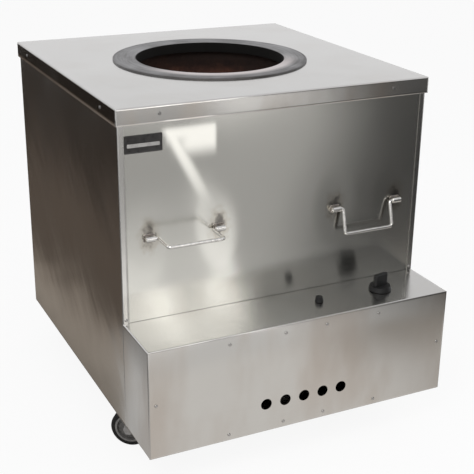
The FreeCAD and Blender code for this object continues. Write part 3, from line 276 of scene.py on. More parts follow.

# %% [markdown]
# The casing is plain stainless sheet with a dull mirror finish. What sets one sheet apart from the next
# are the marks of making and use. One large tree could hold them all, but small functions can be read
# and tried one at a time: each takes the colour, roughness or height so far and returns it with its
# mark on it. The first three are brown smears, buckles from folding, and rounded edges with a painted
# highlight along them.

# %% Smears, buckles and edges
# The second colour is a painted highlight for the rounded edges.
SMEAR_BROWN, EDGE_HIGHLIGHT_STEEL = (0.42, 0.345, 0.28, 1.0), (0.72, 0.7, 0.68, 1.0)
BUMP_DEPTH, EDGE_RADIUS, EDGE_SLOPE = 0.008, 0.0045, 0.6
HEM_EXTRA, HEM_LOW, HEM_HIGH = 0.01, 0.01, 0.016


def add_smears(tree, place, upward, amount, colour, rough):
    """Upright smears: a step of stretched noise x amount, a fifth as strong on faces that look up."""
    stretched = vector_math(tree, "MULTIPLY", place, (6.0, 6.0, 2.2))
    level = times_plus(tree, upward, -0.8 * amount, amount)
    smear = times(tree, step_between(tree, noise(tree, stretched, 1.0, 3.5, 0.55), 0.42, 0.74), level)
    return blend_colour(tree, smear, colour, SMEAR_BROWN), times_plus(tree, smear, 0.15, rough)


def add_buckles(tree, x, y, z, amount, height):
    """Waves that are long on one slant and short across it: noise at (2.2 (y + z), x, 8 (y - z))."""
    along = times(tree, plus(tree, y, z), 2.2)
    across = times(tree, minus(tree, y, z), 8.0)
    slant = add(tree, "CombineXYZ", {0: along, 1: x, 2: across}).outputs[0]
    return times_plus(tree, noise(tree, slant, 1.0, 2.0), amount, height)


def add_edges(tree, place, z, pieces, open_back, side_shade, colour, height):
    """Rounded edges of the pieces' common box, its back moved by open_back, painted paler as a highlight;
    wider at the foot of a lip with painted side shade.
    """
    low = tuple(min(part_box(piece)[0][axis] for piece in pieces) for axis in range(3))
    high = [max(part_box(piece)[1][axis] for piece in pieces) for axis in range(3)]
    high[1] += open_back
    hem = times(tree, side_shade, fade_between(tree, z, low[2] + HEM_LOW, low[2] + HEM_HIGH))
    radius = times_plus(tree, hem, HEM_EXTRA, EDGE_RADIUS)
    made = place_group(tree, folded_edges, {"Vector": place, "Low": low, "High": high, "Radius": radius})
    # The edge mask paints a highlight: paler steel along the rounded edge.
    share = times(tree, made["Edge"], plus(tree, hem, 0.5))
    height = times_plus(tree, made["Height"], EDGE_SLOPE / BUMP_DEPTH, height)
    return blend_colour(tree, share, colour, EDGE_HIGHLIGHT_STEEL), height


print("edges are rounded over", EDGE_RADIUS, "m")

# %% [markdown]
# Dirt settles in the joint where the side panels' folds lie on the front. The front panel also shows
# where the handles were welded on: straw and dark burns and a shallow dimple round each sleeve. A flat
# panel has too few points to paint such marks on, so they are worked out from distances. Because the
# sleeves stand in mirrored pairs, taking the sign off x twice gives the distance to the nearest of the
# four.

# %% Joint dirt and weld burns
HANDLE_X, SLEEVE_X, HANDLE_Z = 0.248, 0.0885, 0.597
SIDE_FOLD = 0.014
JOINT_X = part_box("right_side_panel")[1].x - SIDE_FOLD
JOINT_DIRT = (0.03, 0.029, 0.025, 1.0)
STRAW, BURN = (0.42, 0.37, 0.3, 1.0), (0.09, 0.083, 0.08, 1.0)
BURN_RISE, BURN_STRETCH, BURN_RAGGED = 0.006, 0.62, 0.035


def add_joint_dirt(tree, place, x, amount, colour, rough):
    """A dark line, uneven by noise, where |x| is within 1 to 4 mm of the joint."""
    line = fade_between(tree, size_of(tree, minus(tree, size_of(tree, x), JOINT_X)), 0.001, 0.004)
    dirt = times(tree, line, times(tree, noise(tree, place, 14.0, 4.0), amount))
    return blend_colour(tree, dirt, colour, JOINT_DIRT), times_plus(tree, dirt, 0.3, rough)


def add_weld_burns(tree, place, x, z, colour, height):
    """Burn, straw and dimple by the distance to the nearest sleeve, its height shrunk and its rim ragged."""
    aside = minus(tree, size_of(tree, minus(tree, size_of(tree, x), HANDLE_X)), SLEEVE_X)
    up = times(tree, minus(tree, z, HANDLE_Z + BURN_RISE), BURN_STRETCH)
    away = math_node(tree, "SQRT", plus(tree, times(tree, aside, aside), times(tree, up, up)))
    uneven = minus(tree, noise(tree, place, 55.0, 5.0), 0.5)
    ragged = times_plus(tree, uneven, BURN_RAGGED, away)
    straw = times(tree, fade_between(tree, ragged, 0.014, 0.034), 0.45)
    burn = times(tree, fade_between(tree, ragged, 0.006, 0.02), 0.8)
    colour = blend_colour(tree, burn, blend_colour(tree, straw, colour, STRAW), BURN)
    return colour, times_plus(tree, fade_between(tree, away, 0.0, 0.07), -0.1, height)


print("joint at x", round(JOINT_X, 4), "and sleeves at x", HANDLE_X - SLEEVE_X, "and", HANDLE_X + SLEEVE_X)

# %% [markdown]
# With the marks ready, one function makes any of the sheets. The front panel was brushed from side to
# side, so it smears what it mirrors up and down. Scratches in the bump could do this, but real ones are
# much finer than a pixel, so the shader's Anisotropic value does it, with a tangent round the X axis.
# The right end of the front panel is a little more worn, and the top of the burner box is scuffed.

# %% Casing sheet
STEEL, FRONT_STEEL = (0.63, 0.622, 0.6), (0.63, 0.626, 0.59)
# Painted shade for the faces that look left or right.
SIDE_SHADE_STEEL = (0.1, 0.09, 0.08, 1.0)
WEAR_START = -0.1


def sheet_material(name, across_grain, roughness, cloud, grain, wave, tone=STEEL, welds=False, wear=0.0,
                   brushed=0.0, scuffed=0.0, joint=0.0, folded=(), open_back=0.0, stain=0.0, shaded_sides=0.0,
                   buckle=0.0):
    """Rolled sheet: tone x the group's tone, with its waves and its roughness. wear adds to the roughness
    for every metre to the right of WEAR_START and scuffed on faces that look up, shaded_sides paints shade
    on the faces that look left or right, folded names the pieces that share rounded edges with a painted
    highlight, and the rest are amounts of marks."""
    material, tree, shader, place = start_material(name, tone, 1.0, roughness, anisotropic=brushed)
    if brushed:
        tangent = add(tree, "Tangent", direction_type="RADIAL", axis="X").outputs[0]
        tree.links.new(tangent, shader.inputs["Tangent"])
    made = place_group(tree, rolled_sheet, {"Vector": place, "Across Grain": across_grain, "Grain": grain,
                                            "Roughness": roughness, "Cloud": cloud, "Wave": wave})
    colour = add(tree, "VectorMath", {0: tone, "Scale": made["Tone"]}, operation="SCALE").outputs[0]
    rough, height = made["Roughness"], made["Height"]
    x, y, z = split(tree, place)
    facing = split(tree, add(tree, "TexCoord").outputs["Normal"])
    upward = step_between(tree, facing[2], 0.5, 0.9)
    sideways = step_between(tree, size_of(tree, facing[0]), 0.7, 0.9)
    if wear:
        right = math_node(tree, "MAXIMUM", minus(tree, x, WEAR_START), 0.0)
        rough = times_plus(tree, right, wear, rough)
    rough = times_plus(tree, upward, scuffed, rough)
    if stain:
        colour, rough = add_smears(tree, place, upward, stain, colour, rough)
    if buckle:
        height = add_buckles(tree, x, y, z, buckle, height)
    # Faces that look left or right are painted darker: painted shade, as on the cover's side lips.
    side_shade = times(tree, sideways, shaded_sides)
    colour = blend_colour(tree, side_shade, colour, SIDE_SHADE_STEEL)
    if folded:
        colour, height = add_edges(tree, place, z, folded, open_back, side_shade, colour, height)
    if joint:
        colour, rough = add_joint_dirt(tree, place, x, joint, colour, rough)
    if welds:
        colour, height = add_weld_burns(tree, place, x, z, colour, height)
    tree.links.new(colour, shader.inputs["Base Color"])
    tree.links.new(rough, shader.inputs["Roughness"])
    set_bump(tree, shader, height, 1.0, BUMP_DEPTH)
    return material


LEVEL_GRAIN, DEPTH_GRAIN = (3.0, 3.0, 700.0), (700.0, 3.0, 700.0)
BODY_SHEETS = ("left_side_panel", "right_side_panel", "back_panel")
BOX_SHEETS = ("burner_box_casing", "burner_box_front")
dress(sheet_material("front_sheet", LEVEL_GRAIN, roughness=0.15, cloud=0.06, grain=0.05, wave=0.6,
                     tone=FRONT_STEEL, welds=True, wear=0.15, brushed=0.75, joint=0.6), "front_panel")
dress(sheet_material("side_sheet", LEVEL_GRAIN, roughness=0.2, cloud=0.14, grain=0.05, wave=1.0, joint=0.6,
                     folded=BODY_SHEETS, buckle=0.14), *BODY_SHEETS)
dress(sheet_material("cover_sheet", DEPTH_GRAIN, roughness=0.16, cloud=0.08, grain=0.06, wave=0.4,
                     folded=("top_cover",), stain=0.5, shaded_sides=0.55), "top_cover")
dress(sheet_material("box_sheet", LEVEL_GRAIN, roughness=0.15, cloud=0.12, grain=0.05, wave=0.6,
                     scuffed=0.055, folded=BOX_SHEETS, open_back=0.05, stain=0.45), *BOX_SHEETS)

# %% [markdown]
# The other pieces are iron, paint, plating, brass, plastic, rubber and clay. Each could have a tree of
# its own, but all are close to one colour with spots of a second one, so one function makes them from
# two colours, a gloss and the size of the spots, with dirt for what stands near the floor.

# %% A mottled finish
FLOOR_DIRT = (0.2, 0.175, 0.145, 1.0)
GRIME_REACH, GRIME_PATCH = 0.14, 40.0


def mottled(name, colour, other, metallic, roughness, scale, swing, bump, grime=0.0, specular=0.5):
    """Two colours mixed by noise, whose roughness swings with the noise; grime adds floor dirt."""
    material, tree, shader, place = start_material(name, colour, metallic, roughness, specular)
    spots = noise(tree, place, scale, 6.0, 0.65)
    shown = blend_colour(tree, step_between(tree, spots, 0.38, 0.68), (*colour, 1.0), (*other, 1.0))
    rough = times_plus(tree, minus(tree, spots, 0.5), swing, roughness)
    if grime:
        made = place_group(tree, floor_grime, {"Vector": place, "Reach": GRIME_REACH, "Patch": GRIME_PATCH})
        dirt = times(tree, made["Mask"], grime)
        shown = blend_colour(tree, dirt, shown, FLOOR_DIRT)
        rough = math_node(tree, "MULTIPLY_ADD", dirt, 0.4, rough, clamp=True)
    fine = noise(tree, place, scale * 9, 3.0)
    tree.links.new(shown, shader.inputs["Base Color"])
    tree.links.new(rough, shader.inputs["Roughness"])
    set_bump(tree, shader, fine, 0.5, bump)
    return material


CORNERS = ("front_left", "front_right", "rear_left", "rear_right")
dress(mottled("frame_paint", (0.018, 0.018, 0.019), (0.035, 0.032, 0.03), metallic=0.0, roughness=0.45,
              scale=30.0, swing=0.25, bump=0.0003, grime=0.4),
      "base_frame", "corner_posts", "top_frame", "base_plate", "manifold_pipe", "pipe_clips")
dress(mottled("zinc_plate", (0.5, 0.5, 0.5), (0.36, 0.355, 0.35), metallic=1.0, roughness=0.36,
              scale=90.0, swing=0.2, bump=0.0001, grime=0.7),
      "air_shutter", "castor_plates", "castor_kingpins", "castor_bolts",
      *[corner + end for end in ("_fork", "_axle") for corner in CORNERS])
dress(mottled("wheel_core", (0.16, 0.155, 0.148), (0.12, 0.116, 0.11), metallic=0.0, roughness=0.5,
              scale=30.0, swing=0.2, bump=0.0002, grime=0.1), *[corner + "_hub" for corner in CORNERS])
dress(mottled("tyre_rubber", (0.005, 0.005, 0.005), (0.01, 0.0097, 0.0095), metallic=0.0, roughness=0.65,
              scale=60.0, swing=0.2, bump=0.0004, grime=0.06, specular=0.25),
      *[corner + "_tyre" for corner in CORNERS])

# %% [markdown]
# The gas train is cast iron, brass and turned steel. The rivets of the cover are duller than the screws
# of the box. Clay and wool fill what is out of sight round the pot. They come from the same function,
# because only their colours, gloss and spots differ.

# %% Iron, brass, screws, knobs and packing
dress(mottled("cast_iron", (0.035, 0.033, 0.032), (0.07, 0.045, 0.03), metallic=0.5, roughness=0.62,
              scale=70.0, swing=0.2, bump=0.0008),
      "burner_head", "burner_stand", "flame_spreader", "mixing_tube")
dress(mottled("brass_fitting", (0.62, 0.43, 0.17), (0.45, 0.28, 0.1), metallic=1.0, roughness=0.3,
              scale=120.0, swing=0.2, bump=0.0001),
      "gas_jet", "inlet_socket", "main_valve_body", "pilot_valve_body", "jet_feed_pipe", "pilot_tube")
dress(mottled("turned_steel", (0.6, 0.59, 0.575), (0.48, 0.47, 0.46), metallic=1.0, roughness=0.2,
              scale=140.0, swing=0.16, bump=0.00006), "main_valve_spindle", "pilot_valve_spindle")
dress(mottled("rivet_metal", (0.46, 0.45, 0.44), (0.32, 0.31, 0.3), metallic=1.0, roughness=0.3,
              scale=300.0, swing=0.2, bump=0.00005), "box_screws", "panel_screws")
dress(mottled("dull_rivet", (0.24, 0.235, 0.23), (0.16, 0.156, 0.15), metallic=1.0, roughness=0.45,
              scale=300.0, swing=0.2, bump=0.00005), "cover_rivets")
dress(mottled("black_knob", (0.007, 0.007, 0.007), (0.012, 0.012, 0.012), metallic=0.0, roughness=0.46,
              scale=160.0, swing=0.14, bump=0.0001, specular=0.3), "main_knob", "pilot_knob")
dress(mottled("fire_clay", (0.42, 0.32, 0.23), (0.3, 0.22, 0.16), metallic=0.0, roughness=0.9,
              scale=40.0, swing=0.1, bump=0.0015), "hearth_ring", "mouth_collar")
dress(mottled("wool_fill", (0.6, 0.56, 0.46), (0.45, 0.41, 0.33), metallic=0.0, roughness=0.95,
              scale=60.0, swing=0.05, bump=0.003), "insulation_fill")

# %% [markdown]
# The ring round the mouth is iron, darkened by heat and rubbed round and round by lids. Noise that is
# stretched along the circle gives the rubbed streaks and broad noise gives patches. The inner edge is
# painted paler in front, as a painted highlight, the outer edge is painted darker, as shade, and the
# bore is black with soot. Several materials on one ring would meet in hard lines, so all of it follows
# from the distance and the direction to the ring's axis.

# %% Mouth ring
RING_IRON, RING_BORE, RING_METAL, RING_ROUGH = (0.18, 0.177, 0.178), 0.195, 0.75, 0.4
DARK_IRON, PALE_IRON = (0.13, 0.125, 0.122, 1.0), (0.24, 0.238, 0.24, 1.0)
RIM_SHADE_IRON, RING_HIGHLIGHT_IRON = (0.07, 0.066, 0.064, 1.0), (0.72, 0.66, 0.645, 1.0)
RING_SOOT = (0.006, 0.0055, 0.005, 1.0)


def ring_material(axis_x, axis_y, bore):
    """Grey iron: streaks by the radius, patches by the place, painted shade on the outer rim, a painted
    highlight on the front of the inner edge, a sooty bore.
    """
    material, tree, shader, place = start_material("heat_dark_iron", RING_IRON, RING_METAL, RING_ROUGH, 0.2)
    from_axis = vector_math(tree, "SUBTRACT", place, (axis_x, axis_y, 0.0))
    flat = vector_math(tree, "MULTIPLY", from_axis, (1.0, 1.0, 0.0))
    out = add(tree, "VectorMath", {0: flat}, operation="LENGTH").outputs["Value"]
    around = vector_math(tree, "NORMALIZE", flat)
    along = vector_math(tree, "MULTIPLY", around, (3.0, 3.0, 0.0))
    lift = add(tree, "CombineXYZ", {2: times(tree, out, 160.0)}).outputs[0]
    streaks = noise(tree, vector_math(tree, "ADD", along, lift), 1.0, 5.0, 0.65)
    patches = noise(tree, place, 9.0, 4.0)
    mixed = times_plus(tree, streaks, 0.45, times(tree, patches, 0.55))
    colour = blend_colour(tree, step_between(tree, mixed, 0.38, 0.62), DARK_IRON, PALE_IRON)
    # The outer rim is painted darker: painted shade.
    rim = times(tree, step_between(tree, out, bore + 0.048, bore + 0.06), 0.6)
    colour = blend_colour(tree, rim, colour, RIM_SHADE_IRON)
    # The front of the inner edge is painted paler: a painted highlight.
    to_front = times(tree, split(tree, around)[1], -1.0)
    front_highlight = fade_between(tree, out, bore + 0.014, bore + 0.04)
    front_highlight = times(tree, front_highlight, step_between(tree, to_front, 0.1, 0.85))
    colour = blend_colour(tree, times(tree, front_highlight, 0.9), colour, RING_HIGHLIGHT_IRON)
    soot = fade_between(tree, out, bore + 0.0005, bore + 0.003)
    tree.links.new(blend_colour(tree, soot, colour, RING_SOOT), shader.inputs["Base Color"])
    tree.links.new(times_plus(tree, soot, -RING_METAL, RING_METAL), shader.inputs["Metallic"])
    rough = times_plus(tree, minus(tree, 0.5, mixed), 0.5, RING_ROUGH)
    rough = math_node(tree, "MULTIPLY_ADD", soot, 0.5, rough, clamp=True)
    tree.links.new(rough, shader.inputs["Roughness"])
    set_bump(tree, shader, streaks, 0.5, 0.0004)
    return material


ring_low, ring_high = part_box("mouth_ring")
dress(ring_material((ring_low.x + ring_high.x) / 2, (ring_low.y + ring_high.y) / 2, RING_BORE), "mouth_ring")

# %% [markdown]
# The handles are drawn rod and tube, bright where hands and cloths rub them. On the right bail, which
# hangs, the side that faces the panel is painted dark and made rougher: painted shade. A second
# material on those faces could show it, but it would end in a hard line. The surface's own direction,
# in Object coordinates, tells the sides apart, fades smoothly and turns with the bail.

# %% Handles
# Painted shade for the side of the rod that faces the panel.
BACK_SHADE_ROD = (0.11, 0.105, 0.1, 1.0)


def rod_material(name, shaded_back):
    """Bright rod; shaded_back paints shade where the normal points back and makes it rougher: a step of its
    Y, -0.1 to 0.4.
    """
    material = mottled(name, (0.74, 0.725, 0.7), (0.6, 0.59, 0.57), metallic=1.0, roughness=0.18,
                       scale=140.0, swing=0.16, bump=0.00006)
    if shaded_back:
        tree = material.node_tree
        base, rough = (tree.nodes["Principled BSDF"].inputs[key] for key in ("Base Color", "Roughness"))
        # Faces that point back to the panel are painted dark: painted shade.
        back = step_between(tree, split(tree, add(tree, "TexCoord").outputs["Normal"])[1], -0.1, 0.4)
        tree.links.new(blend_colour(tree, back, base.links[0].from_socket, BACK_SHADE_ROD), base)
        tree.links.new(times_plus(tree, back, 0.3, rough.links[0].from_socket), rough)
    return material


dress(rod_material("bright_rod", False), "left_handle_bail", "left_handle_sleeves", "right_handle_sleeves")
dress(rod_material("hanging_rod", True), "right_handle_bail")

# %% [markdown]
# New pieces are grids of points, whose columns run round and close. Blender's own shapes and modifiers
# could make them too, but a grid is one formula for a whole surface. One function makes the quads
# between the points. The rows close as well on a ring-like piece, and otherwise the first and the last
# row each get a flat face, so that every piece is a closed shell.

# %% From a grid of points to a piece
def mesh_piece(name, points, material, body, close_rows=True):
    """Smooth quads (i, j), (i, j + 1), (i + 1, j + 1), (i + 1, j) of a grid of points, rows by columns."""
    rows, columns = points.shape[:2]
    i = np.arange(rows if close_rows else rows - 1)[:, None]
    j = np.arange(columns)[None, :]
    i2, j2 = (i + 1) % rows, (j + 1) % columns
    corners = [i * columns + j, i * columns + j2, i2 * columns + j2, i2 * columns + j]
    faces = np.stack(corners, -1).reshape(-1, 4).tolist()
    if not close_rows:
        faces += [list(range(columns))[::-1], list(range((rows - 1) * columns, rows * columns))]
    mesh = bpy.data.meshes.new(name)
    mesh.from_pydata(points.reshape(-1, 3).tolist(), [], faces)
    mesh.polygons.foreach_set("use_smooth", np.ones(len(mesh.polygons), bool))
    mesh.materials.append(material)
    mesh.update()
    piece = bpy.data.objects.new(name, mesh)
    scene.collection.objects.link(piece)
    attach(piece, body)
    print(name, len(mesh.polygons), "faces on", body)
    return piece


print("ready to make pieces")

# %% [markdown]
# The clay of the pot is red-brown. Soot blackens it towards the mouth, ash pales it low down, and the
# coils that it was built from still show as soft rings. Soot and ash could be painted on, but both
# follow the height, and noise that stirs the height keeps them from ending in a straight line.

# %% Pot clay
RED_CLAY, PALE_CLAY = (0.17, 0.055, 0.032, 1.0), (0.3, 0.12, 0.07, 1.0)
ASH, POT_SOOT = (0.34, 0.27, 0.22, 1.0), (0.012, 0.01, 0.009, 1.0)


def clay_material():
    """Two clays by fine noise, ash below z 0.42 and soot above z 0.71, both stirred by broad noise."""
    material, tree, shader, place = start_material("pot_clay", (0.2, 0.07, 0.04), 0.0, 0.85)
    smoke = minus(tree, noise(tree, place, 7.0, 6.0, 0.6), 0.5)
    level = times_plus(tree, smoke, 0.22, split(tree, place)[2])
    soot = step_between(tree, level, 0.71, 0.87)
    ash = fade_between(tree, level, 0.26, 0.42)
    grains = noise(tree, place, 55.0, 6.0, 0.7)
    clay = blend_colour(tree, step_between(tree, grains, 0.3, 0.7), RED_CLAY, PALE_CLAY)
    clay = blend_colour(tree, times(tree, ash, 0.4), clay, ASH)
    clay = blend_colour(tree, times(tree, soot, 0.93), clay, POT_SOOT)
    coils = add(tree, "TexWave", {"Vector": place, "Scale": 6.0, "Distortion": 3.0, "Detail": 2.0},
                bands_direction="Z").outputs[1]
    tree.links.new(clay, shader.inputs["Base Color"])
    set_bump(tree, shader, times_plus(tree, grains, 0.6, coils), 0.7, 0.0025)
    return material


pot_clay = clay_material()
print(pot_clay.name, "with", len(pot_clay.node_tree.nodes), "nodes")

# %% [markdown]
# The pot is coiled and smoothed by hand, so it isn't a perfect turned form: its wall wanders by a
# millimetre or two and shows the sweep of the shaping hand. The CAD pot could have stayed with a new
# material, but it is too true, so this one stands in its place. A closed profile, up the inside, over
# the rim and down the outside, is carried once round the axis, and a slow ripple is taken off the
# inside of its wall.

# %% Clay pot
POT_BASE, POT_BELLY, POT_MOUTH, POT_WALL, BELLY_RISE = 0.240, 0.280, 0.207, 0.035, 0.250
OUTER_GAP, POT_COLUMNS, POT_ROWS = 0.0004, 160, 60
pot_low, pot_high = (np.array(corner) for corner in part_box("clay_pot"))
pot_height = pot_high[2] - pot_low[2]
pot_axis = (pot_low + pot_high) / 2


def pot_radius(rise):
    """Two arcs that stand upright at the belly: radius = belly - (R - sqrt(R^2 - (rise - belly rise)^2))."""
    end = np.where(rise < BELLY_RISE, POT_BASE, POT_MOUTH)
    span = np.where(rise < BELLY_RISE, BELLY_RISE, pot_height - BELLY_RISE)
    step = POT_BELLY - end
    bend = (step ** 2 + span ** 2) / (2 * step)
    return POT_BELLY - (bend - np.sqrt(bend ** 2 - (rise - BELLY_RISE) ** 2))


turn = np.linspace(0, 2 * np.pi, POT_COLUMNS, endpoint=False)[None, :]
rise = np.linspace(0, pot_height, POT_ROWS)[:, None]
sweep = 0.0006 * (1 + np.sin(3 * turn + 9 * rise)) + 0.0005 * (1 + np.sin(5 * turn - 40 * rise))
inner = pot_radius(rise) + sweep
outer = (pot_radius(rise) + POT_WALL - OUTER_GAP + 0 * turn)[::-1]
radius = np.concatenate([inner, outer])
level = pot_low[2] + np.concatenate([rise, rise[::-1]]) + 0 * turn
points = np.stack([pot_axis[0] + radius * np.cos(turn), pot_axis[1] + radius * np.sin(turn), level], -1)
pot = mesh_piece("hand_built_pot", points, pot_clay, "oven")
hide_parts("clay_pot")

# %% [markdown]
# A dark enamelled plate is stuck to the front panel, just below the lip at the left. It is a bare plate
# with a rolled rim and a plain pale bar. Bevelled boxes could stand for them, but the rim has a section
# of its own, so each is a stack of rounded outlines, one inside the other, closed by a flat face. The
# plate's outlines rise to the rim and sink to the middle.

# %% Bare plate
def rounded_outline(width, height, corner, count=16):
    """Points on a rectangle with round corners: four quarter circles in turn, joined by straight edges."""
    arc = np.linspace(0, np.pi / 2, count)[None, :] + np.pi / 2 * np.arange(4)[:, None]
    centre_x = (width / 2 - corner) * np.array([1, -1, -1, 1])[:, None]
    centre_z = (height / 2 - corner) * np.array([1, 1, -1, -1])[:, None]
    return np.stack([centre_x + corner * np.cos(arc), centre_z + corner * np.sin(arc)], -1).reshape(-1, 2)


def stacked_plate(centre_x, centre_z, back_y, width, height, corner, rings):
    """Outlines in rows: each ring is (inset, stand-off), so the plate's section goes from its edge inwards.
    The columns run the other way round than the outlines do, so that the faces point outwards."""
    rows = []
    for inset, stand_off in rings:
        flat = rounded_outline(width - 2 * inset, height - 2 * inset, max(corner - inset, 0.0002))
        depth = np.full(len(flat), back_y - stand_off)
        rows.append(np.stack([centre_x + flat[:, 0], depth, centre_z + flat[:, 1]], -1))
    return np.array(rows)[:, ::-1]


PLATE_X, PLATE_Z, PLATE_WIDTH, PLATE_HEIGHT, PLATE_CORNER = -0.3455, 0.824, 0.091, 0.042, 0.002
PLATE_RINGS = [(0, 0.0), (0, 0.0008), (0.0003, 0.0012), (0.0012, 0.0013), (0.0018, 0.0009), (0.003, 0.0008)]
BAR_WIDTH, BAR_HEIGHT, BAR_CORNER, BAR_DROP, BAR_LIFT = 0.078, 0.0085, 0.0015, 0.003, 0.0002
BAR_RINGS = [(0, 0.0), (0, 0.0011), (0.0003, 0.0013), (0.0008, 0.0013)]
panel_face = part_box("front_panel")[0].y
dark_enamel = mottled("dark_enamel", (0.012, 0.011, 0.011), (0.022, 0.02, 0.019), metallic=0.0,
                      roughness=0.3, scale=90.0, swing=0.2, bump=0.00008)
pale_enamel = mottled("pale_enamel", (0.36, 0.35, 0.335), (0.28, 0.27, 0.26), metallic=0.0,
                      roughness=0.4, scale=120.0, swing=0.2, bump=0.00008)
plate_points = stacked_plate(PLATE_X, PLATE_Z, panel_face, PLATE_WIDTH, PLATE_HEIGHT, PLATE_CORNER,
                             PLATE_RINGS)
bar_points = stacked_plate(PLATE_X, PLATE_Z - BAR_DROP, panel_face - BAR_LIFT, BAR_WIDTH, BAR_HEIGHT,
                           BAR_CORNER, BAR_RINGS)
mesh_piece("bare_plate", plate_points, dark_enamel, "oven", close_rows=False)
mesh_piece("plain_bar", bar_points, pale_enamel, "oven", close_rows=False)

# %% [markdown]
# The sleeves of the handles are welded to the panel. A weld bead is a row of overlapping scales. It
# could be a row of small balls, but a thin tube round the foot of each sleeve, whose radius pulses
# along its length, gives the same scales as one closed skin.

# %% Weld beads
BEAD_WIDTH, BEAD_HEIGHT, BEAD_CORNER = 0.0255, 0.0165, 0.004
BEAD_RADIUS, BEAD_SWELL, BEAD_SCALE, BEAD_FLATTEN = 0.0015, 0.22, 0.0032, 0.8
BEAD_SINK, BEAD_BACK = 0.0003, 0.0002
weld_metal = mottled("weld_metal", (0.4, 0.36, 0.31), (0.2, 0.18, 0.19), metallic=1.0, roughness=0.34,
                     scale=400.0, swing=0.2, bump=0.0001)


def weld_bead(name, centre_x, centre_z):
    """A tube round a rounded outline, half in the panel: radius x (1 + swell |sin(pi length / scale)|)."""
    path = rounded_outline(BEAD_WIDTH, BEAD_HEIGHT, BEAD_CORNER, 24)
    ahead, behind = np.roll(path, -1, 0), np.roll(path, 1, 0)
    along = ahead - behind
    along /= np.linalg.norm(along, axis=1, keepdims=True)
    outward = np.stack([along[:, 1], -along[:, 0]], -1)
    length = np.cumsum(np.linalg.norm(ahead - path, axis=1))
    radius = BEAD_RADIUS * (1 + BEAD_SWELL * np.abs(np.sin(length * np.pi / BEAD_SCALE)))[:, None]
    section = np.linspace(0, 2 * np.pi, 12, endpoint=False)[None, :]
    flat = path[:, None, :] + outward[:, None, :] * (radius * np.cos(section))[..., None]
    depth = panel_face + BEAD_SINK - radius * np.sin(section) * BEAD_FLATTEN
    depth = np.minimum(depth, panel_face + BEAD_BACK)
    points = np.stack([centre_x + flat[..., 0], depth, centre_z + flat[..., 1]], -1)
    return mesh_piece(name, points[::-1], weld_metal, "oven")


for side, side_name in ((-1, "left"), (1, "right")):
    for end in (-1, 1):
        end_name = "outer" if end == side else "inner"
        weld_bead(f"{side_name}_{end_name}_weld", side * HANDLE_X + end * SLEEVE_X, HANDLE_Z)

# %% [markdown]
# The floor is white to the camera and to mirror rays, and keeps the object's shadow. Bright lamps could
# turn it white too, but they would wash out the object. So most of its colour is its own light, and the
# rest is a plain pale surface that shadows fall on. From below it is clear, so that the underside can
# be looked at.

# %% Floor
FLOOR_GREY, FLOOR_SHARE, FLOOR_REACH, FLOOR_Z = (0.85, 0.85, 0.85, 1.0), 0.9, 9.0, -0.0004


def empty_material(name):
    """A material with an empty tree; returns both."""
    material = bpy.data.materials.new(name)
    material.use_nodes = True
    material.node_tree.nodes.clear()
    return material, material.node_tree


def flat_sheet(name, material, corners):
    """One quad through four corners, for the floor or a board."""
    mesh = bpy.data.meshes.new(name)
    mesh.from_pydata(corners, [], [(0, 1, 2, 3)])
    mesh.materials.append(material)
    made = bpy.data.objects.new(name, mesh)
    scene.collection.objects.link(made)
    return made


def level_corners(x0, x1, y0, y1, z):
    """The corners of a level rectangle, counted so that it faces up."""
    return [(x0, y0, z), (x1, y0, z), (x1, y1, z), (x0, y1, z)]


def floor_material():
    """Pale diffuse for light, nine tenths white for camera, mirror and glass rays, and clear from below."""
    material, tree = empty_material("studio_floor")
    plain = add(tree, "BsdfDiffuse", {"Color": FLOOR_GREY}).outputs[0]
    white = add(tree, "Emission", {"Color": (1.0, 1.0, 1.0, 1.0), "Strength": 1.0}).outputs[0]
    rays = add(tree, "LightPath").outputs
    shown = math_node(tree, "MAXIMUM", rays["Is Camera Ray"], rays["Is Glossy Ray"])
    shown = math_node(tree, "MAXIMUM", shown, rays["Is Transmission Ray"])
    whole = add(tree, "MixShader", {0: times(tree, shown, FLOOR_SHARE), 1: plain, 2: white}).outputs[0]
    under = add(tree, "NewGeometry").outputs["Backfacing"]
    clear = add(tree, "BsdfTransparent").outputs[0]
    whole = add(tree, "MixShader", {0: under, 1: whole, 2: clear}).outputs[0]
    add(tree, "OutputMaterial", {0: whole})
    return material


floor = flat_sheet("studio_floor", floor_material(),
                   level_corners(-FLOOR_REACH, FLOOR_REACH, -FLOOR_REACH, FLOOR_REACH, FLOOR_Z))
print("floor", tuple(floor.dimensions))

# %% [markdown]
# Polished sheet shows its surroundings more than itself, so a studio gives it something to show: boards
# and cloths that stand out of view. They are seen by mirror rays alone, so they cast no light or shadow
# on anything else. Each one glows in tones that are smooth steps and ramps in metres.

# %% Helpers for boards
RAMP_SPAN = 2.0


def tone_material(name, paint, cover=None):
    """A board that glows in the tones that paint gives for its x, y and z, and is clear where cover is 0."""
    material, tree = empty_material(name)
    x, y, z = split(tree, add(tree, "TexCoord").outputs["Object"])
    shown = add(tree, "Emission", {"Color": paint(tree, x, y, z), "Strength": 1.0}).outputs[0]
    if cover:
        clear = add(tree, "BsdfTransparent").outputs[0]
        shown = add(tree, "MixShader", {0: cover(tree, x, y, z), 1: clear, 2: shown}).outputs[0]
    add(tree, "OutputMaterial", {0: shown})
    return material


def warm(level, tint=0.0):
    """A grey of the given level, browner with more tint."""
    return (level, level * (1 - 0.5 * tint), level * (1 - tint), 1.0)


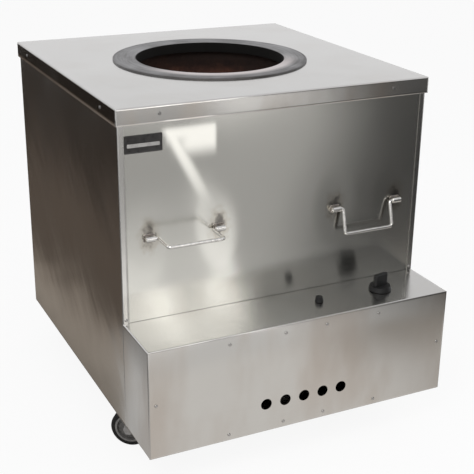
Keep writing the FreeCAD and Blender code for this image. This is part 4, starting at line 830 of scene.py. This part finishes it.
def ramp(tree, value, stops):
    """Levels joined by straight runs: each stop is a place on the value, up to RAMP_SPAN, and its level."""
    node = add(tree, "ValToRGB", {0: math_node(tree, "DIVIDE", value, RAMP_SPAN)})
    elements = node.color_ramp.elements
    elements.remove(elements[0])
    for i, (place, level) in enumerate(stops):
        made = elements[0] if i == 0 else elements.new(place / RAMP_SPAN)
        made.position = place / RAMP_SPAN
        made.color = warm(level, 0.03)
    return node.outputs[0]


def inside(tree, value, low, high, soft):
    """1 between low and high, fading over the soft distance outside of them."""
    begun = step_between(tree, value, low - soft, low)
    return times(tree, begun, fade_between(tree, value, high, high + soft))


def mirror_only(piece):
    """Hides a board from every ray but mirror rays."""
    piece.visible_camera = piece.visible_diffuse = piece.visible_shadow = piece.visible_transmission = False
    print(piece.name, "spans", [round(v, 2) for v in piece.dimensions])


print("helpers for boards ready")

# %% [markdown]
# The first is a cloth on the floor, which the sides and the front of the burner box mirror. In front of
# the body it is pale, and dimmer to the right. Beside the body it darkens with the distance, in soft
# folds that give the left side its streaks.

# %% Floor cloth
CLOTH_Z, CLOTH_WIDE, CLOTH_FRONT, CLOTH_BACK = 0.0002, 4.0, -1.6, 6.0
SIDE_X, BACK_Y = 0.41, 0.49


def cloth_left(tree, x, y, away):
    """Brown tones by the distance from the left side, which grows to the back and is stirred by noise."""
    flat = add(tree, "CombineXYZ", {0: x, 1: y}).outputs[0]
    folds = minus(tree, noise(tree, flat, 6.0, 3.0), 0.5)
    further = times_plus(tree, minus(tree, y, 0.6), 0.06, away)
    further = times_plus(tree, folds, 0.09, further)
    tone = ramp(tree, further, [(0.0, 0.2), (0.06, 0.23), (0.09, 0.3), (0.13, 0.29), (0.17, 0.255),
                                (0.195, 0.19), (0.222, 0.075), (0.31, 0.077), (0.52, 0.1), (0.65, 0.075),
                                (0.72, 0.034), (1.2, 0.022)])
    brown = step_between(tree, further, 0.1, 0.3)
    tint = blend_colour(tree, brown, (1.1, 0.97, 0.84, 1.0), (1.2, 0.95, 0.77, 1.0))
    return vector_math(tree, "MULTIPLY", tone, tint)


def cloth_front(tree, x, y, away):
    """Pale, dimmer to the right and dark at the far right; by the left corner the distance sets the tone."""
    near = times_plus(tree, step_between(tree, y, -1.05, -0.75), -0.55, 1.0)
    dim = times(tree, step_between(tree, x, 0.2, 0.65), near)
    pale = blend_colour(tree, dim, warm(0.78, 0.06), warm(0.32, 0.18))
    pale = blend_colour(tree, step_between(tree, x, 0.95, 1.2), pale, warm(0.08, 0.1))
    corner = ramp(tree, away, [(0.0, 0.5), (0.08, 0.54), (0.15, 0.62), (0.2, 0.51), (0.24, 0.36),
                               (0.32, 0.2)])
    return blend_colour(tree, step_between(tree, x, -0.43, -0.4), corner, pale)


def paint_cloth(tree, x, y, z):
    """The front's tones before a line that runs back from the body's corners, the sides' tones behind it."""
    away = math_node(tree, "MAXIMUM", minus(tree, size_of(tree, x), SIDE_X), 0.0)
    behind = math_node(tree, "MAXIMUM", away, minus(tree, y, BACK_Y))
    right = ramp(tree, behind, [(0.0, 0.62), (0.3, 0.4), (0.5, 0.22), (0.9, 0.14)])
    sides = blend_colour(tree, step_between(tree, x, -0.4, -0.3), cloth_left(tree, x, y, away), right)
    line = times_plus(tree, math_node(tree, "MINIMUM", away, 0.25), -2.8, y)
    front = cloth_front(tree, x, y, away)
    return blend_colour(tree, step_between(tree, line, -0.318, -0.284), front, sides)


mirror_only(flat_sheet("floor_cloth", tone_material("floor_cloth", paint_cloth),
                       level_corners(-CLOTH_WIDE, CLOTH_WIDE, CLOTH_FRONT, CLOTH_BACK, CLOTH_Z)))

# %% [markdown]
# The second is a board in front, which leans away from the oven. It has bands, one above the other,
# because each part of the front mirrors its own height of the board: the lip and the panel mirror the
# lower bands, and the panel's foot and the burner box's top, which mirror each other first, show the
# bright one.

# %% Front board
BOARD_FOOT, BOARD_LEAN, BOARD_TOP, BOARD_LEFT, BOARD_RIGHT, BOARD_Z = -1.05, 0.4, 1.35, -0.9, 1.9, 0.001
UPRIGHT_LEAN, BAND_LEAN = -0.178, -0.52
FOOT_END, WALL_END, NARROW_END, TOP_END = (0.07, 0.1), (0.58, 0.595), (0.66, 0.78), (1.15, 1.19)


def board_wall(tree, x, z):
    """Darker on a slant to the right, paler to the left, with a glare low down and a leaning streak."""
    upright = times_plus(tree, z, UPRIGHT_LEAN, x)
    slant = times_plus(tree, z, -0.6, plus(tree, upright, 0.102))
    wall = ramp(tree, slant, [(0.33, 0.48), (0.42, 0.36), (0.53, 0.22), (0.6, 0.115), (0.75, 0.058),
                              (0.85, 0.042)])
    left = ramp(tree, z, [(0.1, 0.9), (0.2, 0.78), (0.28, 0.6), (0.38, 0.45), (0.6, 0.43)])
    glare = times(tree, fade_between(tree, upright, -0.06, 0.0), fade_between(tree, z, 0.14, 0.24))
    left = blend_colour(tree, glare, left, warm(1.2, 0.03))
    wall = blend_colour(tree, step_between(tree, upright, 0.17, 0.215), left, wall)
    line = times_plus(tree, z, -0.27, 0.23)
    beside = size_of(tree, minus(tree, upright, line))
    streak = times(tree, fade_between(tree, beside, 0.018, 0.06), fade_between(tree, z, 0.3, 0.38))
    return blend_colour(tree, streak, wall, ramp(tree, z, [(0.14, 1.5), (0.24, 1.1), (0.33, 1.15)]))


def board_top(tree, x, z):
    """Two bright stripes on a slant with a dip between them low down, and dark to the right of them."""
    across = times_plus(tree, z, BAND_LEAN, plus(tree, x, 0.431))
    top = ramp(tree, across, [(0.0, 1.75), (0.12, 3.4), (0.18, 2.5), (0.24, 1.4), (0.295, 3.3),
                              (0.333, 5.4), (0.347, 1.2), (0.362, 0.3), (0.5, 0.2), (0.62, 0.18),
                              (0.8, 0.13), (0.87, 0.08), (1.0, 0.06)])
    low = minus(tree, 0.85, step_between(tree, z, 0.93, 0.99))
    dip = math_node(tree, "MULTIPLY", inside(tree, across, 0.19, 0.25, 0.03), low, clamp=True)
    top = blend_colour(tree, dip, top, warm(0.25))
    dark = times(tree, step_between(tree, across, 0.37, 0.42), step_between(tree, z, 0.94, 1.0))
    return blend_colour(tree, times(tree, dark, 0.7), top, warm(0.05))


def paint_board(tree, x, y, z):
    """Bands, one above the other: a foot, a wall with a streak, a narrow band, a bright one, a grey head."""
    foot = ramp(tree, x, [(0.5, 0.7), (0.56, 0.5), (0.7, 0.38), (0.85, 0.27), (0.92, 0.1)])
    narrow = ramp(tree, x, [(0.18, 0.36), (0.25, 0.52), (0.31, 1.0), (0.4, 1.05), (0.55, 0.85), (0.62, 0.75),
                            (0.7, 0.5), (0.8, 0.3), (0.9, 0.14), (1.1, 0.1)])
    head = blend_colour(tree, step_between(tree, x, 0.7, 0.95), warm(0.8), warm(0.12))
    shown = foot
    for (low, high), band in ((FOOT_END, board_wall(tree, x, z)), (WALL_END, narrow),
                              (NARROW_END, board_top(tree, x, z)), (TOP_END, head)):
        shown = blend_colour(tree, step_between(tree, z, low, high), shown, band)
    return shown


board_head = BOARD_FOOT - BOARD_LEAN * BOARD_TOP
mirror_only(flat_sheet("front_board", tone_material("front_board", paint_board),
                       [(BOARD_LEFT, BOARD_FOOT, BOARD_Z), (BOARD_RIGHT, BOARD_FOOT, BOARD_Z),
                        (BOARD_RIGHT, board_head, BOARD_TOP), (BOARD_LEFT, board_head, BOARD_TOP)]))

# %% [markdown]
# The third is a clear card close to the panel with a bright streak and a bright patch on it, because a
# brushed panel mirrors only near things crisply.

# %% Streak card
CARD_GAP, CARD_LEFT, CARD_RIGHT, CARD_LOW, CARD_HIGH = 0.08, -0.29, 0.0, 0.58, 0.828


def paint_card(tree, x, y, z):
    """Brighter towards the top."""
    return ramp(tree, z, [(0.6, 0.85), (0.7, 1.25), (0.78, 1.5)])


def cover_card(tree, x, y, z):
    """The greatest of a line leaning to the left, a band at the top and a patch that fades to the left."""
    line = times_plus(tree, z, -0.531, 0.1851)
    streak = fade_between(tree, size_of(tree, minus(tree, x, line)), 0.004, 0.024)
    streak = times(tree, streak, step_between(tree, z, 0.59, 0.68))
    band = times(tree, step_between(tree, x, -0.264, -0.252), step_between(tree, z, 0.775, 0.812))
    patch = times(tree, step_between(tree, x, -0.26, -0.195), step_between(tree, z, 0.742, 0.785))
    top = times(tree, math_node(tree, "MAXIMUM", band, patch), fade_between(tree, x, -0.134, -0.126))
    return math_node(tree, "MAXIMUM", streak, top)


card_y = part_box("front_panel")[0].y - CARD_GAP
mirror_only(flat_sheet("streak_card", tone_material("streak_card", paint_card, cover_card),
                       [(CARD_LEFT, card_y, CARD_LOW), (CARD_RIGHT, card_y, CARD_LOW),
                        (CARD_RIGHT, card_y, CARD_HIGH), (CARD_LEFT, card_y, CARD_HIGH)]))

# %% [markdown]
# The room beyond the floor is the world: nearly as white as the floor to the camera, and a soft grey
# light from all round for everything else. Two broad lamps give the forms their shading and the floor its
# shadow. The fill lamp is hidden from mirror rays, because the brushed panel would draw it out into a
# long upright smear.

# %% World and lamps
LOW_SKY, HIGH_SKY, ROOM_WHITE = (0.95, 0.95, 0.96, 1.0), (0.8, 0.8, 0.82, 1.0), (0.965, 0.965, 0.965, 1.0)
SOFT_STRENGTH, MIRROR_STRENGTH = 0.75, 0.96
world = bpy.data.worlds.new("studio_room")
scene.world = world
world.use_nodes = True
tree = world.node_tree
tree.nodes.clear()
rays = add(tree, "LightPath").outputs
up = split(tree, add(tree, "TexCoord").outputs["Generated"])[2]
sky = blend_colour(tree, step_between(tree, up, 0.0, 0.5), LOW_SKY, HIGH_SKY)
soft = add(tree, "Background", {"Color": sky, "Strength": SOFT_STRENGTH}).outputs[0]
mirror = add(tree, "Background", {"Color": sky, "Strength": MIRROR_STRENGTH}).outputs[0]
white = add(tree, "Background", {"Color": ROOM_WHITE, "Strength": 1.0}).outputs[0]
lit = add(tree, "MixShader", {0: rays["Is Glossy Ray"], 1: soft, 2: mirror}).outputs[0]
seen = math_node(tree, "MAXIMUM", rays["Is Camera Ray"], rays["Is Transmission Ray"])
add(tree, "OutputWorld", {0: add(tree, "MixShader", {0: seen, 1: lit, 2: white}).outputs[0]})


def soft_lamp(name, place, target, size, watts):
    """A square lamp at a place, turned to a target."""
    lamp = bpy.data.lights.new(name, "AREA")
    lamp.size = size
    lamp.energy = watts
    made = bpy.data.objects.new(name, lamp)
    made.location = place
    made.rotation_euler = (Vector(target) - Vector(place)).to_track_quat("-Z", "Y").to_euler()
    scene.collection.objects.link(made)
    print(name, watts, "W at", place)
    return made


LAMP_TARGET = (0.0, 0.0, 0.6)
soft_lamp("key_lamp", (-2.2, -2.6, 3.4), LAMP_TARGET, size=1.6, watts=60.0)
soft_lamp("fill_lamp", (2.8, -1.6, 2.6), LAMP_TARGET, size=1.4, watts=25.0).visible_glossy = False

# %% [markdown]
# The camera stands to the front left, higher than the top, with a long lens. It could be placed by eye,
# but a fit to the casing's straight edges in the photograph also gives the right perspective. It needs
# no shift.

# %% Camera
LOOK_RIGHT, LOOK_DOWN, ROLL = math.radians(26.06), math.radians(21.53), math.radians(0.76)
CAMERA_PLACE, SENSOR, FOCAL_LENGTH = (-1.125, -2.4018, 1.4739), 36.0, 78.44
lens = bpy.data.cameras.new("photo_camera")
lens.sensor_width = SENSOR
lens.lens = FOCAL_LENGTH
camera = bpy.data.objects.new("photo_camera", lens)
facing = (Matrix.Rotation(-LOOK_RIGHT, 4, "Z") @ Matrix.Rotation(math.pi / 2 - LOOK_DOWN, 4, "X")
          @ Matrix.Rotation(ROLL, 4, "Z"))
camera.matrix_world = Matrix.Translation(CAMERA_PLACE) @ facing
scene.collection.objects.link(camera)
scene.camera = camera
print("camera at", tuple(round(v, 3) for v in camera.matrix_world.translation), "lens", lens.lens)
